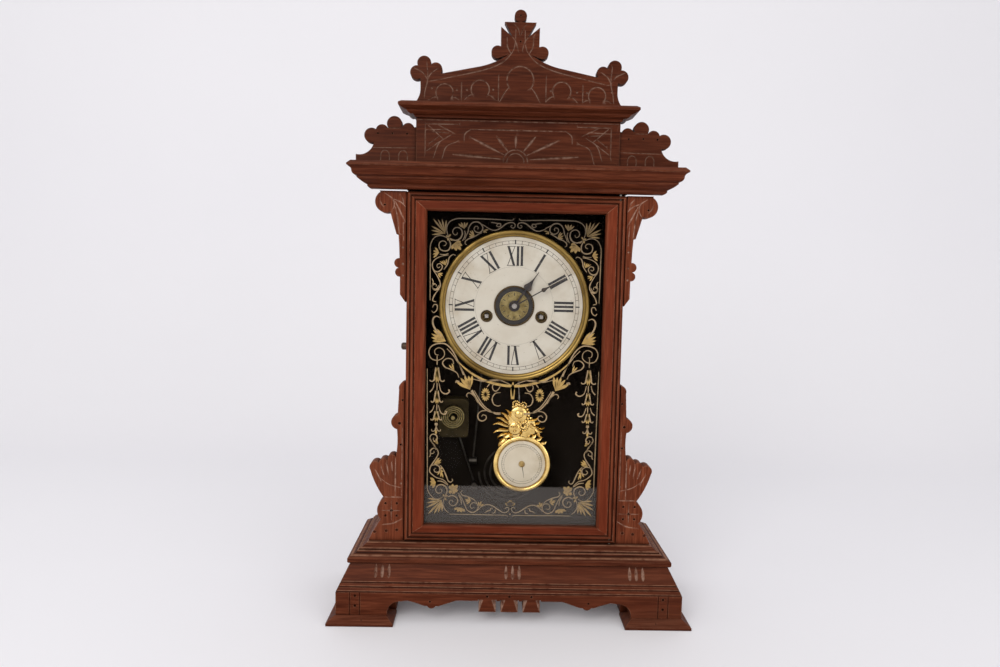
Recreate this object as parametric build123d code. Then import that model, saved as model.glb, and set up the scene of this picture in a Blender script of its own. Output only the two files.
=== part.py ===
from build123d import *
import math
import os

os.makedirs("parts", exist_ok=True)

# Frame: +Z up, the front faces -Y, the origin is on the floor under the middle of the base.
# All sizes are in millimetres.

# Base
base_half = 180.7
base_depth = 127.0
pad_height = 8.0
pad_edge = 2.5
pad_bevel = 8.1
pad_length = 66.0
pad_arm = 31.1
pad_side_length = 50.0
skirt_top = 56.2
skirt_block_top = 31.3
skirt_slope = 12.5
skirt_thickness = 23.0
skirt_line_depth = 0.7
skirt_line_heights = (31.6, 35.7, 39.5)
arch_crown = 23.3
glue_block_edge = 65.2
glue_block_depth = 24.0
glue_block_bottom = 2.0
drop_bottom = 12.8
drop_width = 17.2
drop_pitch = 22.0
deck_top = 72.3
deck_inset = 17.6
deck_moulding = 17.4

# Case and door
case_half = 109.9
case_board = 9.0
case_front = -12.3
back_board_thickness = 5.0
back_recess = 1.0
door_half = 108.9
door_front = -27.9
door_thickness = 14.0
door_foot_gap = 1.1
door_head_gap = 1.9
door_corner_round = 3.0
door_back_round = 1.5
stile_width = 19.7
head_width = 18.3
foot_width = 16.6
rebate_width = 6.0
glass_setback = 7.2
glass_thickness = 2.0
glass_play = 0.6
bead_thickness = 3.8
pivot_inset = 5.9
pivot_setback = 3.5
pivot_radius = 1.5
pivot_play = 0.05
pivot_reach = 8.0
pivot_root = 6.0

# Cornice, frieze and crest
cornice_bottom = 430.2
cornice_height = 24.3
cornice_half = 164.8
cornice_front_y = -48.8
top_board_thickness = 8.0
cornice_cap = 14.0
cornice_foot = 26.5
header_inset = 24.0
frieze_half = 102.2
frieze_front = -15.9
frieze_board = 9.0
frieze_depth = 20.0
frieze_height = 48.0
upper_half = 118.4
upper_height = 13.0
upper_overhang = 16.2
crest_front = -13.5
crest_thickness = 9.5
total_height = 610.0
wing_front = -12.5
wing_thickness = 9.0
bracket_front = -24.5
bracket_thickness = 15.0
upper_bracket_gap = 1.4

# Dial and hands
dial_z = 316.2
dial_front = -5.5
dial_sheet = 0.7
dial_radius = 71.0
dial_hole = 20.2
bezel_outer = 78.0
bezel_depth = 5.0
winding_x = 28.3
winding_drop = 11.0
winding_hole = 5.6
hour_hand_front = -9.2
minute_hand_front = -11.8
hand_thickness = 0.6
hour_hand_length = 43.0
minute_hand_length = 61.0
hour_hand_angle = 35.0
minute_hand_angle = 60.0
alarm_disc_radius = 15.0
alarm_disc_front = -6.6
centre_arbor_radius = 1.6
hour_pipe_radius = 2.6
alarm_pipe_radius = 3.4
running_fit = 0.05

# Movement
plate_half = 55.0
plate_bottom = 266.0
plate_top = 368.0
plate_thickness = 1.5
front_plate_y = 16.0
back_plate_y = 46.0
pillar_radius = 2.5
pillar_inset = 5.0
leg_radius = 3.0
wheel_thickness = 1.2
great_wheel_radius = 24.6
great_wheel_y = 20.0
centre_wheel_radius = 17.0
centre_wheel_y = 33.6
third_wheel_radius = 13.0
third_wheel_y = 36.5
escape_wheel_radius = 9.5
escape_wheel_y = 40.0
strike_wheel_radius = 14.0
strike_wheel_y = 43.0
mesh_gap = 0.4
spring_strip = 0.8
spring_pitch = 2.0
spring_inner = 5.2
spring_turns = 8
spring_y = 23.0
spring_width = 9.5
winding_arbor_radius = 2.5
winding_square = 4.4

# Pendulum
suspension_z = 350.0
suspension_y = 6.3
pendulum_lean = 3.44
pendulum_length = 203.4
rod_radius = 0.9
rod_jog = 7.5
bob_radius = 31.6
bob_face_radius = 25.2
bob_front = 2.5
bob_depth = 9.0
ornament_top = 134.0
ornament_bottom = 176.0
ornament_half = 27.0

# Gong, hammers and alarm
gong_z = 127.0
gong_standoff = 16.0
gong_wire = 1.2
gong_pitch = 6.2
gong_turns = 5
gong_stud = 3.0
hammer_gap = 1.7
alarm_x = -62.0
alarm_z = 193.0
alarm_plate_width = 32.0
alarm_plate_height = 42.0
alarm_front_y = 16.5
alarm_back_y = 34.0
alarm_spring_turns = 4

# Latch
latch_y = -2.0
latch_z = 272.0
latch_knob_radius = 3.75
latch_knob_length = 6.4
latch_arm = 10.0
latch_pin_reach = 7.5
latch_pin_radius = 0.9

# Sizes worked out from the ones above
base_front = -base_depth / 2
base_back = base_depth / 2
skirt_front_y = base_front + pad_bevel
deck_half = base_half - deck_inset
deck_front = base_front + deck_inset
cornice_top = cornice_bottom + cornice_height
top_board_bottom = cornice_top - top_board_thickness
frieze_top = cornice_top + frieze_height
upper_top = frieze_top + upper_height
case_inner = case_half - case_board
back_board_back = base_back - back_recess
back_board_front = back_board_back - back_board_thickness
gong_y = back_board_front - gong_standoff
door_bottom = deck_top + door_foot_gap
door_top = cornice_bottom - door_head_gap
door_back = door_front + door_thickness
glass_front = door_front + glass_setback
pivot_x = door_half - pivot_inset
pivot_y = door_front + pivot_setback
winding_z = dial_z - winding_drop


def save(name, shape):
    export_step(shape, f"parts/{name}.step")


def outline(*steps):
    """A closed flat face. A pair is a straight run, four numbers are an arc's middle and its end."""
    start = steps[0]
    here = start
    edges = []
    for step in steps[1:] + (start,):
        if len(step) == 4:
            edges.append(ThreePointArc(here, step[:2], step[2:]))
        elif math.dist(here, step) > 1e-6:
            edges.append(Line(here, step))
        here = step[-2:]
    return make_face(Curve(edges) if len(edges) > 1 else edges[0])


def disc(x, z, radius):
    return Pos(x, z) * Circle(radius)


def board(face, front, thickness):
    """Stand a face drawn in x and z upright, from its front plane back by its thickness."""
    plane = Plane(origin=(0, front + thickness, 0), x_dir=(1, 0, 0), z_dir=(0, -1, 0))
    return extrude(plane * face, amount=thickness)


def block(x0, x1, y0, y1, z0, z1):
    centre = Pos((x0 + x1) / 2, (y0 + y1) / 2, (z0 + z1) / 2)
    return centre * Box(x1 - x0, y1 - y0, z1 - z0)


def rod_y(x, z, radius, y0, y1):
    """A round bar along Y."""
    return board(disc(x, z, radius), y0, y1 - y0)


def rod_x(y, z, radius, x0, x1):
    """A round bar along X."""
    plane = Plane(origin=(x0, y, z), x_dir=(0, 1, 0), z_dir=(1, 0, 0))
    return extrude(plane * Circle(radius), amount=x1 - x0)


def rod_z(x, y, radius, z0, z1):
    """A round bar along Z."""
    return Pos(x, y, (z0 + z1) / 2) * Cylinder(radius, z1 - z0)


def wire_tube(points, radius):
    """A round wire through the points, with its corners mitred."""
    path = Polyline(*points)
    start = Plane(origin=path @ 0, z_dir=path % 0)
    return sweep(start * Circle(radius), path=path, transition=Transition.RIGHT)


def mirror_x(shape):
    return mirror(shape, about=Plane.YZ)


def run_front(face, half, front):
    """Run a moulding section, drawn as inset and height, across the front."""
    plane = Plane(origin=(-half, front, 0), x_dir=(0, 1, 0), z_dir=(1, 0, 0))
    return extrude(plane * face, amount=2 * half)


def run_left(face, half, front, back):
    """Run a moulding section, drawn as inset and height, along the left side."""
    plane = Plane(origin=(-half, back, 0), x_dir=(1, 0, 0), z_dir=(0, -1, 0))
    return extrude(plane * face, amount=back - front)


def plan(z0, z1, *corners):
    """An upright prism over a plan given by its corners."""
    return Pos(0, 0, z0) * extrude(outline(*corners), amount=z1 - z0)


def mitred_left(face, half, front, back, width, front_width):
    """A left-hand moulding whose front end is mitred to the front one."""
    run = run_left(face, half, front, back)
    corners = ((-half, front), (front_width - half, front + front_width),
               (width - half, front + front_width), (width - half, back), (-half, back))
    if width <= front_width:
        corners = ((-half, front), (width - half, front + width), (width - half, back), (-half, back))
    return run & plan(0, total_height, *corners)


def mitred_front(face, half, front, width):
    """A front moulding mitred at both ends."""
    run = run_front(face, half, front)
    corners = ((-half, front), (half, front), (half - width, front + width), (width - half, front + width))
    return run & plan(0, total_height, *corners)


def moulded_slab(section, half, front, back):
    """A board with one moulded edge run round its front and both sides."""
    across = run_front(section(back - front), half, front)
    left = run_left(section(2 * half), half, front, back)
    return across & left & mirror_x(left)


# Base

def foot_pad(x0, x1, y0, y1, flush_back):
    """A bevelled pad. The pads at the back keep an upright back face."""
    back_bevel = 0 if flush_back else pad_bevel
    low = block(x0, x1, y0, y1, 0, pad_edge)
    foot = Plane(origin=(0, 0, pad_edge)) * outline((x0, y0), (x1, y0), (x1, y1), (x0, y1))
    inner = (x0 + pad_bevel, y0 + pad_bevel, x1 - pad_bevel, y1 - back_bevel)
    head = Plane(origin=(0, 0, pad_height)) * outline(
        (inner[0], inner[1]), (inner[2], inner[1]), (inner[2], inner[3]), (inner[0], inner[3]))
    return low + loft([foot, head])


def corner_pad(front_pad):
    """The pad under one left-hand corner of the base."""
    if front_pad:
        arm = foot_pad(-base_half, pad_arm - base_half, base_front, base_front + pad_side_length, False)
        return arm + foot_pad(-base_half, pad_length - base_half, base_front, base_front + pad_arm, False)
    return foot_pad(-base_half, pad_arm - base_half, base_back - pad_arm, base_back, True)


def skirt_section():
    """The skirt's section: an upright block, a slope with three scratched lines, and a flat back."""
    rise = skirt_top - skirt_block_top
    face = outline((pad_bevel, pad_height), (pad_bevel, skirt_block_top),
                   (pad_bevel + skirt_slope, skirt_top), (pad_bevel + skirt_thickness, skirt_top),
                   (pad_bevel + skirt_thickness, pad_height))
    for height in skirt_line_heights:
        inset = pad_bevel + skirt_slope * (height - skirt_block_top) / rise
        face -= disc(inset, height, skirt_line_depth)
    return face


def front_arch():
    """The opening cut under the front skirt, with its ogees, two pendants and three drops."""
    side = outline((0, 0), (121.7, 0), (121.7, pad_height), (118.2, 18.6, 108.0, 22.4),
                   (101.1, arch_crown), (93.5, 21.2, 84.5, 18.0), (70.5, 18.0), (62.0, 20.9, 53.0, 24.0),
                   (0, 24.0))
    side -= disc(77.5, 20.4, 4.8)
    shape = side + mirror(side, about=Plane.YZ)
    for place in (-drop_pitch, 0, drop_pitch):
        shape -= Pos(place, drop_bottom + 20) * Rectangle(drop_width, 40)
    return shape


def build_base():
    front = mitred_front(skirt_section(), base_half, base_front, pad_bevel + skirt_thickness)
    front -= board(front_arch(), base_front - 1, base_depth)
    save("skirt_front", front)

    side = mitred_left(skirt_section(), base_half, base_front, base_back,
                       pad_bevel + skirt_thickness, pad_bevel + skirt_thickness)
    arch_start = base_front + pad_side_length - pad_bevel
    arch_end = base_back - pad_arm + pad_bevel
    arch_middle = (arch_start + arch_end) / 2
    arch = outline((arch_start, 0), (arch_end, 0), (arch_end, pad_height),
                   (arch_middle, arch_crown, arch_start, pad_height))
    side_plane = Plane(origin=(-base_half - 1, 0, 0), x_dir=(0, 1, 0), z_dir=(1, 0, 0))
    side -= extrude(side_plane * arch, amount=base_half)
    save("skirt_left", side)
    save("skirt_right", mirror_x(side))

    for name, pad in (("foot_pads_front", corner_pad(True)), ("foot_pads_back", corner_pad(False))):
        save(name, Compound([pad, mirror_x(pad)]))


def deck_section(width):
    """The deck's moulded edge: a round nose, two small steps and a cove up to the flat top."""
    return outline((2.0, skirt_top), (-0.4, 59.6, 1.6, 63.0), (6.6, 64.5), (7.6, 64.5), (8.6, 66.4, 10.2, 66.4),
                   (10.2, 68.2), (11.6, 68.2), (13.4, 69.4, deck_moulding, deck_top),
                   (width, deck_top), (width, skirt_top))


def build_deck():
    deck = moulded_slab(deck_section, deck_half, deck_front, base_back)
    deck -= rod_z(pivot_x, pivot_y, pivot_radius, deck_top - pivot_root, deck_top + 1)
    save("base_deck", deck)
    skirt_back = skirt_front_y + skirt_thickness
    corner = block(pad_bevel + skirt_thickness - base_half, glue_block_edge - base_half,
                   skirt_back, skirt_back + glue_block_depth, glue_block_bottom, skirt_top)
    crest_back = crest_front + crest_thickness
    crest_block = block(-26, 26, crest_back, crest_back + 12, upper_top, upper_top + 12)
    save("glue_blocks", Compound([corner, mirror_x(corner), crest_block]))


# Case

def build_case():
    side = block(-case_half, -case_inner, case_front, back_board_back, deck_top, top_board_bottom)
    save("case_side_right", mirror_x(side))
    latch_hole = rod_x(latch_y, latch_z, 1.5 + running_fit, -case_half - 1, -case_inner + 1)
    save("case_side_left", side - latch_hole)
    save("back_board", block(-case_inner, case_inner, back_board_front, back_board_back,
                             deck_top, top_board_bottom))
    top_half = cornice_half - cornice_cap
    save("top_board", block(-top_half, top_half, cornice_front_y + cornice_cap, back_board_back,
                            top_board_bottom, cornice_top))


def cornice_section():
    """The cornice's section: a thin lip, a hollow, a step and a long ogee, cut away at the back."""
    z = cornice_bottom
    return outline((21.7, z), (18.6, z + 0.5, 17.2, z + 1.9), (17.2, z + 3.8), (12.4, z + 6.0, 8.4, z + 9.0),
                   (8.4, z + 10.9), (5.4, z + 11.9, 4.1, z + 14.4), (3.0, z + 17.8, 0, z + 19.6),
                   (0, z + 21.0), (3.3, z + cornice_height), (cornice_cap, z + cornice_height),
                   (cornice_cap, top_board_bottom), (cornice_cap + 3.0, top_board_bottom - 5.0),
                   (cornice_foot, z + 5.0), (cornice_foot, z))


def upper_section(width):
    """The upper cornice's section: a lip over a hollow."""
    z = frieze_top
    return outline((16.2, z), (14.8, z), (14.0, z + 2.0, 11.4, z + 2.4), (8.8, z + 3.6, 7.0, z + 5.6),
                   (4.0, z + 6.6, 1.0, z + 8.0), (-0.2, z + 9.6, 0.6, z + 11.4), (3.0, z + upper_height),
                   (width, z + upper_height), (width, z))


def build_cornice():
    section = cornice_section()
    header = block(-case_half, case_half, cornice_front_y + header_inset, case_front,
                   cornice_bottom, top_board_bottom)
    front = mitred_front(section, cornice_half, cornice_front_y, cornice_foot) + header
    front -= rod_z(pivot_x, pivot_y, pivot_radius, cornice_bottom - 1, cornice_bottom + pivot_root)
    save("cornice_front", front)
    # A short return at the corner, and the cap alone along the rest of the side.
    cap = section & (Pos(100, top_board_bottom + 50) * Rectangle(220, 100))
    left = mitred_left(section, cornice_half, cornice_front_y, cornice_front_y + cornice_foot,
                       cornice_foot, cornice_foot)
    left += mitred_left(cap, cornice_half, cornice_front_y, back_board_back, cornice_cap, cornice_cap)
    save("cornice_left", left)
    save("cornice_right", mirror_x(left))

    save("frieze_front", block(-frieze_half, frieze_half, frieze_front, frieze_front + frieze_board,
                               cornice_top, frieze_top))
    side = block(-frieze_half, frieze_board - frieze_half, frieze_front + frieze_board,
                 frieze_front + frieze_depth, cornice_top, frieze_top)
    save("frieze_sides", Compound([side, mirror_x(side)]))
    save("upper_cornice", moulded_slab(upper_section, upper_half, frieze_front - upper_overhang,
                                       frieze_front + frieze_depth))


def crest_face():
    """Half the crest: a slope up to the finial and a three-lobed ear, then mirrored."""
    body = outline((0, upper_top), (106.2, upper_top), (100.6, 522.5, 98.6, 531.0), (98.9, 542.0), (88.0, 546.0),
                   (77.4, 546.6), (43.5, 553.5), (26.5, 558.4, 12.1, 566.0), (18.5, 563.6), (24.0, 569.0),
                   (19.1, 574.6), (19.3, 593.2), (7.9, 583.6), (15.8, total_height - 12.1), (0, total_height - 12.1))
    finial_lobe = 6.1
    lobes = ((0, total_height - finial_lobe, finial_lobe), (22.3, 568.8, 6.2),
             (83.5, 550.7, 6.4), (95.1, 556.4, 6.9), (102.2, 547.1, 6.8), (93.4, 548.4, 6.8))
    for x, z, radius in lobes:
        body += disc(x, z, radius)
    return body + mirror(body, about=Plane.YZ)


def wing_face():
    """The left crest wing's mirror image: four lobes over a concave shoulder."""
    body = outline((frieze_half, cornice_top), (162.8, cornice_top), (162.8, 466.0),
                   (150.4, 468.8, 145.0, 477.0), (147.0, 485.0), (136.0, 489.0), (124.0, 496.0),
                   (110.0, 492.0), (frieze_half, 494.0))
    for x, z, radius in ((147.0, 484.8, 7.4), (136.5, 489.3, 6.5), (124.2, 496.6, 7.6), (110.4, 491.4, 6.3)):
        body += disc(x, z, radius)
    keep = Pos(frieze_half + 50, 470) * Rectangle(100, 100)
    return body & keep


def upper_bracket_face():
    """A scroll under the cornice, tapering past two small lobes to a point."""
    head = cornice_bottom - upper_bracket_gap
    body = outline((case_half, head), (136.6, head), (130.0, 418.0),
                   (126.0, 408.0), (119.7, 386.2), (117.6, 386.0),
                   (116.4, 363.0), (116.6, 357.5), (116.2, 348.3), (115.8, 342.6), (115.7, 326.2),
                   (case_half + 0.4, 318.6), (case_half, 318.6))
    for x, z, radius in ((130.2, 418.2, 10.9), (116.8, 357.7, 4.8), (116.1, 348.5, 4.6)):
        body += disc(x, z, radius)
    keep = Pos(case_half + 50, head - 100) * Rectangle(100, 200)
    return body & keep


def lower_bracket_face():
    """A tall bracket: a point, one lobe, a scalloped fan, a disc and a spread foot."""
    body = outline((case_half, deck_top), (145.6, deck_top), (140.6, 82.6, 134.6, 92.4), (124.0, 104.0),
                   (130.4, 117.6), (138.6, 131.4, 144.2, 146.0), (139.0, 150.0), (118.0, 160.0),
                   (117.9, 162.8), (117.0, 171.0, 117.4, 189.0), (116.8, 204.0), (115.6, 229.6),
                   (114.4, 235.4, case_half + 0.6, 237.6), (case_half, 237.6))
    lobes = ((115.8, 196.2, 7.6), (122.2, 157.6, 4.8), (130.6, 153.2, 5.0), (139.2, 149.2, 5.9),
             (123.3, 104.0, 13.8))
    for x, z, radius in lobes:
        body += disc(x, z, radius)
    keep = Pos(case_half + 50, deck_top + 100) * Rectangle(100, 200)
    return body & keep


def build_fretwork():
    save("crest_board", board(crest_face(), crest_front, crest_thickness))
    pieces = (("crest_wing", wing_face(), wing_front, wing_thickness),
              ("upper_bracket", upper_bracket_face(), bracket_front, bracket_thickness),
              ("lower_bracket", lower_bracket_face(), bracket_front, bracket_thickness))
    for name, face, front, thickness in pieces:
        right = board(face, front, thickness)
        save(f"{name}_right", right)
        save(f"{name}_left", mirror_x(right))


# Door

def frame_section(width):
    """A door member's section, drawn as distance in from the outer edge and depth from the front."""
    sight = width
    back = door_thickness
    rebate = glass_setback
    r = door_corner_round
    corner = r * (1 - math.cos(math.pi / 4))
    b = door_back_round
    back_corner = b * (1 - math.cos(math.pi / 4))
    return outline((0, r), (corner, corner, r, 0), (3.2, 2.2), (4.4, 2.2), (4.4, 1.6), (5.9, 0.1, 7.4, 1.6),
                   (7.4, 2.6), (8.6, 2.6), (8.6, 1.2), (sight - 2.2, 1.2), (sight - 0.8, 1.9, sight, 4.2),
                   (sight, rebate), (sight - rebate_width, rebate), (sight - rebate_width, back),
                   (b, back), (back_corner, back - back_corner, 0, back - b))


def build_door():
    # The moulding mitres at the corners. Beyond the beads the mitre runs to the sight corner.
    bead_edge = 8.6
    flat_end = 2.2

    def mitre_line(corner_x, corner_z, rail, side, up):
        xs = (0, bead_edge, stile_width - flat_end, stile_width, stile_width + 20)
        zs = (0, bead_edge, rail - flat_end, rail, rail + 20)
        return [(corner_x + side * x, corner_z + up * z) for x, z in zip(xs, zs)]

    lower = mitre_line(-door_half, door_bottom, foot_width, 1, 1)
    upper = mitre_line(-door_half, door_top, head_width, 1, -1)
    y0 = door_front - 1
    deep = door_thickness + 2

    stile_plane = Plane(origin=(-door_half, door_front, door_bottom), x_dir=(1, 0, 0), z_dir=(0, 0, 1))
    height = door_top - door_bottom
    stile = extrude(stile_plane * frame_section(stile_width), amount=height)
    stile_shape = board(outline(*lower, *reversed(upper)), y0, deep)
    left = stile & stile_shape
    pivot = rod_z(pivot_x, pivot_y, pivot_radius + pivot_play, door_bottom - 1, door_bottom + pivot_reach + 0.5)
    pivot += rod_z(pivot_x, pivot_y, pivot_radius + pivot_play, door_top - pivot_reach - 0.5, door_top + 1)
    save("door_stile_left", left)
    save("door_stile_right", mirror_x(left) - pivot)

    def rail(z, width, direction, line):
        plane = Plane(origin=(-door_half, door_front, z), x_dir=(0, 0, direction), z_dir=(-direction, 0, 0))
        member = extrude(plane * frame_section(width), amount=2 * door_half, dir=(1, 0, 0))
        mirrored = [(-x, height) for x, height in reversed(line)]
        return (member & board(outline(*line, *mirrored), y0, deep)) - pivot

    save("door_rail_bottom", rail(door_bottom, foot_width, 1, lower))
    save("door_rail_top", rail(door_top, head_width, -1, upper))

    glass_half = door_half - stile_width + rebate_width - glass_play
    glass_low = door_bottom + foot_width - rebate_width + glass_play
    glass_high = door_top - head_width + rebate_width - glass_play
    save("door_glass", block(-glass_half, glass_half, glass_front, glass_front + glass_thickness,
                             glass_low, glass_high))
    bead_front = glass_front + glass_thickness
    ring = block(-glass_half, glass_half, bead_front, bead_front + bead_thickness, glass_low, glass_high)
    bead_width = rebate_width - glass_play - 1.0
    ring -= block(bead_width - glass_half, glass_half - bead_width, bead_front - 1,
                  bead_front + bead_thickness + 1,
                  glass_low + bead_width, glass_high - bead_width)
    save("glass_beads", ring)

    pins = [rod_z(pivot_x, pivot_y, pivot_radius, deck_top - pivot_root, door_bottom + pivot_reach),
            rod_z(pivot_x, pivot_y, pivot_radius, door_top - pivot_reach, cornice_bottom + pivot_root)]
    save("door_pivots", Compound(pins))


def build_latch():
    """A knob outside the left case side turns a notched arm inside it, which takes a pin on the door."""
    arm_x0 = -case_inner + 0.8
    arm_x1 = arm_x0 + 1.4
    knob_x1 = -case_half - 0.2
    shaft = rod_x(latch_y, latch_z, 1.5, knob_x1 - 1, arm_x1)
    neck = knob_x1 - latch_knob_length
    knob = rod_x(latch_y, latch_z, latch_knob_radius, neck, knob_x1)
    knob = fillet(knob.edges().filter_by(GeomType.CIRCLE).group_by(Axis.X)[0], 2.2)
    arm_plane = Plane(origin=(arm_x0, latch_y, latch_z), x_dir=(0, 1, 0), z_dir=(1, 0, 0))
    face = Pos(0, latch_arm / 2) * SlotCenterToCenter(latch_arm - 3, 6, rotation=90)
    notch = latch_pin_radius + 0.5
    face -= Pos(-3, latch_pin_reach) * Rectangle(6, 2 * notch)
    face -= disc(0, latch_pin_reach, notch)
    arm = extrude(arm_plane * face, amount=arm_x1 - arm_x0)
    save("door_latch", shaft + knob + arm)

    pin_y = latch_y - latch_pin_reach
    foot_x1 = stile_width - rebate_width - door_half - 0.3
    foot_x0 = foot_x1 - 2.2
    foot = block(foot_x0, foot_x1, door_back, pin_y + 1.6, latch_z - 2.5, latch_z + 2.5)
    pin = rod_x(pin_y, latch_z, latch_pin_radius, arm_x0 + 0.2, foot_x0)
    save("latch_staple", foot + pin)


# Dial

def ring_y(x, z, outer, inner, y0, y1):
    return board(disc(x, z, outer) - disc(x, z, inner), y0, y1 - y0)


def build_dial():
    face = disc(0, dial_z, bezel_outer - 1) - disc(0, dial_z, dial_hole)
    for side in (-1, 1):
        face -= disc(side * winding_x, winding_z, winding_hole)
    save("dial_pan", board(face, dial_front, dial_sheet))

    section = outline((dial_radius, dial_front),
                      (dial_radius + 0.6, dial_front - 1.6, dial_radius + 2.0, dial_front - 2.4),
                      (dial_radius + 4.5, dial_front - bezel_depth, bezel_outer, dial_front - 1.0),
                      (bezel_outer, dial_front + bezel_depth), (bezel_outer - 0.8, dial_front + bezel_depth),
                      (bezel_outer - 0.8, dial_front))
    spin_plane = Plane(origin=(0, 0, dial_z), x_dir=(1, 0, 0), z_dir=(0, 0, 1))
    bezel = revolve(spin_plane * section, axis=Axis((0, 0, dial_z), (0, 1, 0)))
    save("dial_bezel", bezel)

    posts = []
    reach = 60.0 / math.sqrt(2)
    for sx in (-1, 1):
        for sz in (-1, 1):
            x, z = sx * reach, dial_z + sz * reach
            end = back_board_front
            posts.append(rod_y(x, z, 2.2, dial_front + dial_sheet, end))
    return posts


def hand_face(length, hub, stem, blade, blade_place):
    """A hand pointing up from the centre: hub, thin stem, and a blade that draws out to a fine tip."""
    low, high = blade_place
    span = high - low
    wide = low + 0.25 * span
    face = outline((-stem, 0), (-stem * 0.8, low), (-blade * 0.85, low + 0.07 * span, -blade, wide),
                   (-blade * 0.42, low + 0.6 * span, -0.6, high), (-0.3, length), (0.3, length),
                   (0.6, high), (blade * 0.42, low + 0.6 * span, blade, wide),
                   (blade * 0.85, low + 0.07 * span, stem * 0.8, low), (stem, 0))
    return face + disc(0, 0, hub)


def place_hand(face, angle, front, hole):
    turned = Pos(0, dial_z) * (Rot(0, 0, -angle) * (face - Circle(hole)))
    return board(turned, front, hand_thickness)


def build_hands():
    hour_bore = centre_arbor_radius + running_fit
    hour_wheel_y = front_plate_y - 3.0
    pipe_top = hour_hand_front
    hand = place_hand(hand_face(hour_hand_length, 5.6, 1.0, 4.3, (20.5, 35.0)), hour_hand_angle,
                      hour_hand_front, hour_bore)
    pipe = ring_y(0, dial_z, hour_pipe_radius, hour_bore,
                  pipe_top + hand_thickness, hour_wheel_y + wheel_thickness)
    wheel = toothed_wheel(36, 13.0, 1.2, hour_wheel_y, wheel_thickness, 0, dial_z)
    wheel -= rod_y(0, dial_z, hour_pipe_radius, hour_wheel_y - 1, hour_wheel_y + wheel_thickness + 1)
    save("hour_hand", hand + pipe + wheel)

    minute = place_hand(hand_face(minute_hand_length, 3.2, 0.7, 2.1, (32.0, 43.0)), minute_hand_angle,
                        minute_hand_front, centre_arbor_radius)
    save("minute_hand", minute)

    disc_face = disc(0, dial_z, alarm_disc_radius) - disc(0, dial_z, hour_pipe_radius + running_fit)
    disc_plate = board(disc_face, alarm_disc_front, 0.8)
    collar = ring_y(0, dial_z, alarm_pipe_radius, hour_pipe_radius + running_fit,
                    alarm_disc_front - 1.4, alarm_disc_front)
    save("alarm_disc", disc_plate + collar)


# Movement

def toothed_wheel(teeth, tip, depth, y0, thickness, x, z):
    """A wheel with straight-flanked teeth."""
    points = []
    for tooth in range(teeth):
        for radius, share in ((tip - depth, 0.0), (tip - depth, 0.45), (tip, 0.58), (tip, 0.87)):
            angle = 2 * math.pi * (tooth + share) / teeth
            points.append((x + radius * math.cos(angle), z + radius * math.sin(angle)))
    return board(outline(*points), y0, thickness)


def arbor(x, z, radius):
    """An arbor between the two plates."""
    return rod_y(x, z, radius, front_plate_y + plate_thickness + 0.2, back_plate_y - 0.2)


def half_rings(start, pitch, turns):
    """A coil as half rings on two centres: each one's centre offset, side and radius."""
    sides = [1 if half_turn % 2 == 0 else -1 for half_turn in range(2 * turns)]
    return [(side * pitch / 4, side, start + half_turn * pitch / 2) for half_turn, side in enumerate(sides)]


def print_least_gap(name, rings, thickness):
    """Measure the least gap between turns that lie next to each other, on points along the coil."""
    rows = []
    for centre, side, radius in rings:
        angles = [math.pi * k / 48 * side for k in range(49)]
        rows.append([(centre + radius * math.cos(a), radius * math.sin(a)) for a in angles])
    least = min(math.dist(p, q) for one, other in zip(rows, rows[2:]) for p in one for q in other)
    print(name, "least gap between turns", round(least - thickness, 2), "mm")


def spiral_strip(name, x, z, inner, turns, y0, width):
    """A flat spring: half rings on two centres, so that each half turn grows by half the pitch."""
    strip = None
    rings = half_rings(inner + spring_strip, spring_pitch, turns)
    print_least_gap(name, rings, spring_strip)
    for offset, side, radius in rings:
        centre_x = x + offset
        ring = disc(centre_x, z, radius + spring_strip / 2) - disc(centre_x, z, radius - spring_strip / 2)
        ring &= Pos(centre_x, z + side * 50) * Rectangle(200, 100)
        strip = ring if strip is None else strip + ring
    return board(strip, y0, width)


def point_from(x, z, distance, dx, dz):
    """The point at a distance from another, in the direction of dx and dz."""
    scale = distance / math.hypot(dx, dz)
    return x + dx * scale, z + dz * scale


centre_pinion = 5.4
strike_pinion = 4.0
third_pinion = 3.5
small_pinion = 3.0
third_at = point_from(0, dial_z, centre_wheel_radius + third_pinion + mesh_gap, 16.5, 12.8)
escape_at = point_from(*third_at, third_wheel_radius + small_pinion + mesh_gap, -14.5, 7.7)
strike_second_at = point_from(-winding_x, winding_z, great_wheel_radius + strike_pinion + mesh_gap, 14.3, 25.2)
fly_at = point_from(*strike_second_at, strike_wheel_radius + small_pinion + mesh_gap, -16.0, 6.8)
hammer_pivot = (-30.0, 276.0)


def plate_face():
    width, height = 2 * plate_half, plate_top - plate_bottom
    return Pos(0, (plate_top + plate_bottom) / 2) * RectangleRounded(width, height, 8)


def pillar_places():
    x = plate_half - pillar_inset
    return [(sx * x, z) for sx in (-1, 1) for z in (plate_bottom + pillar_inset, plate_top - pillar_inset)]


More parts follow.
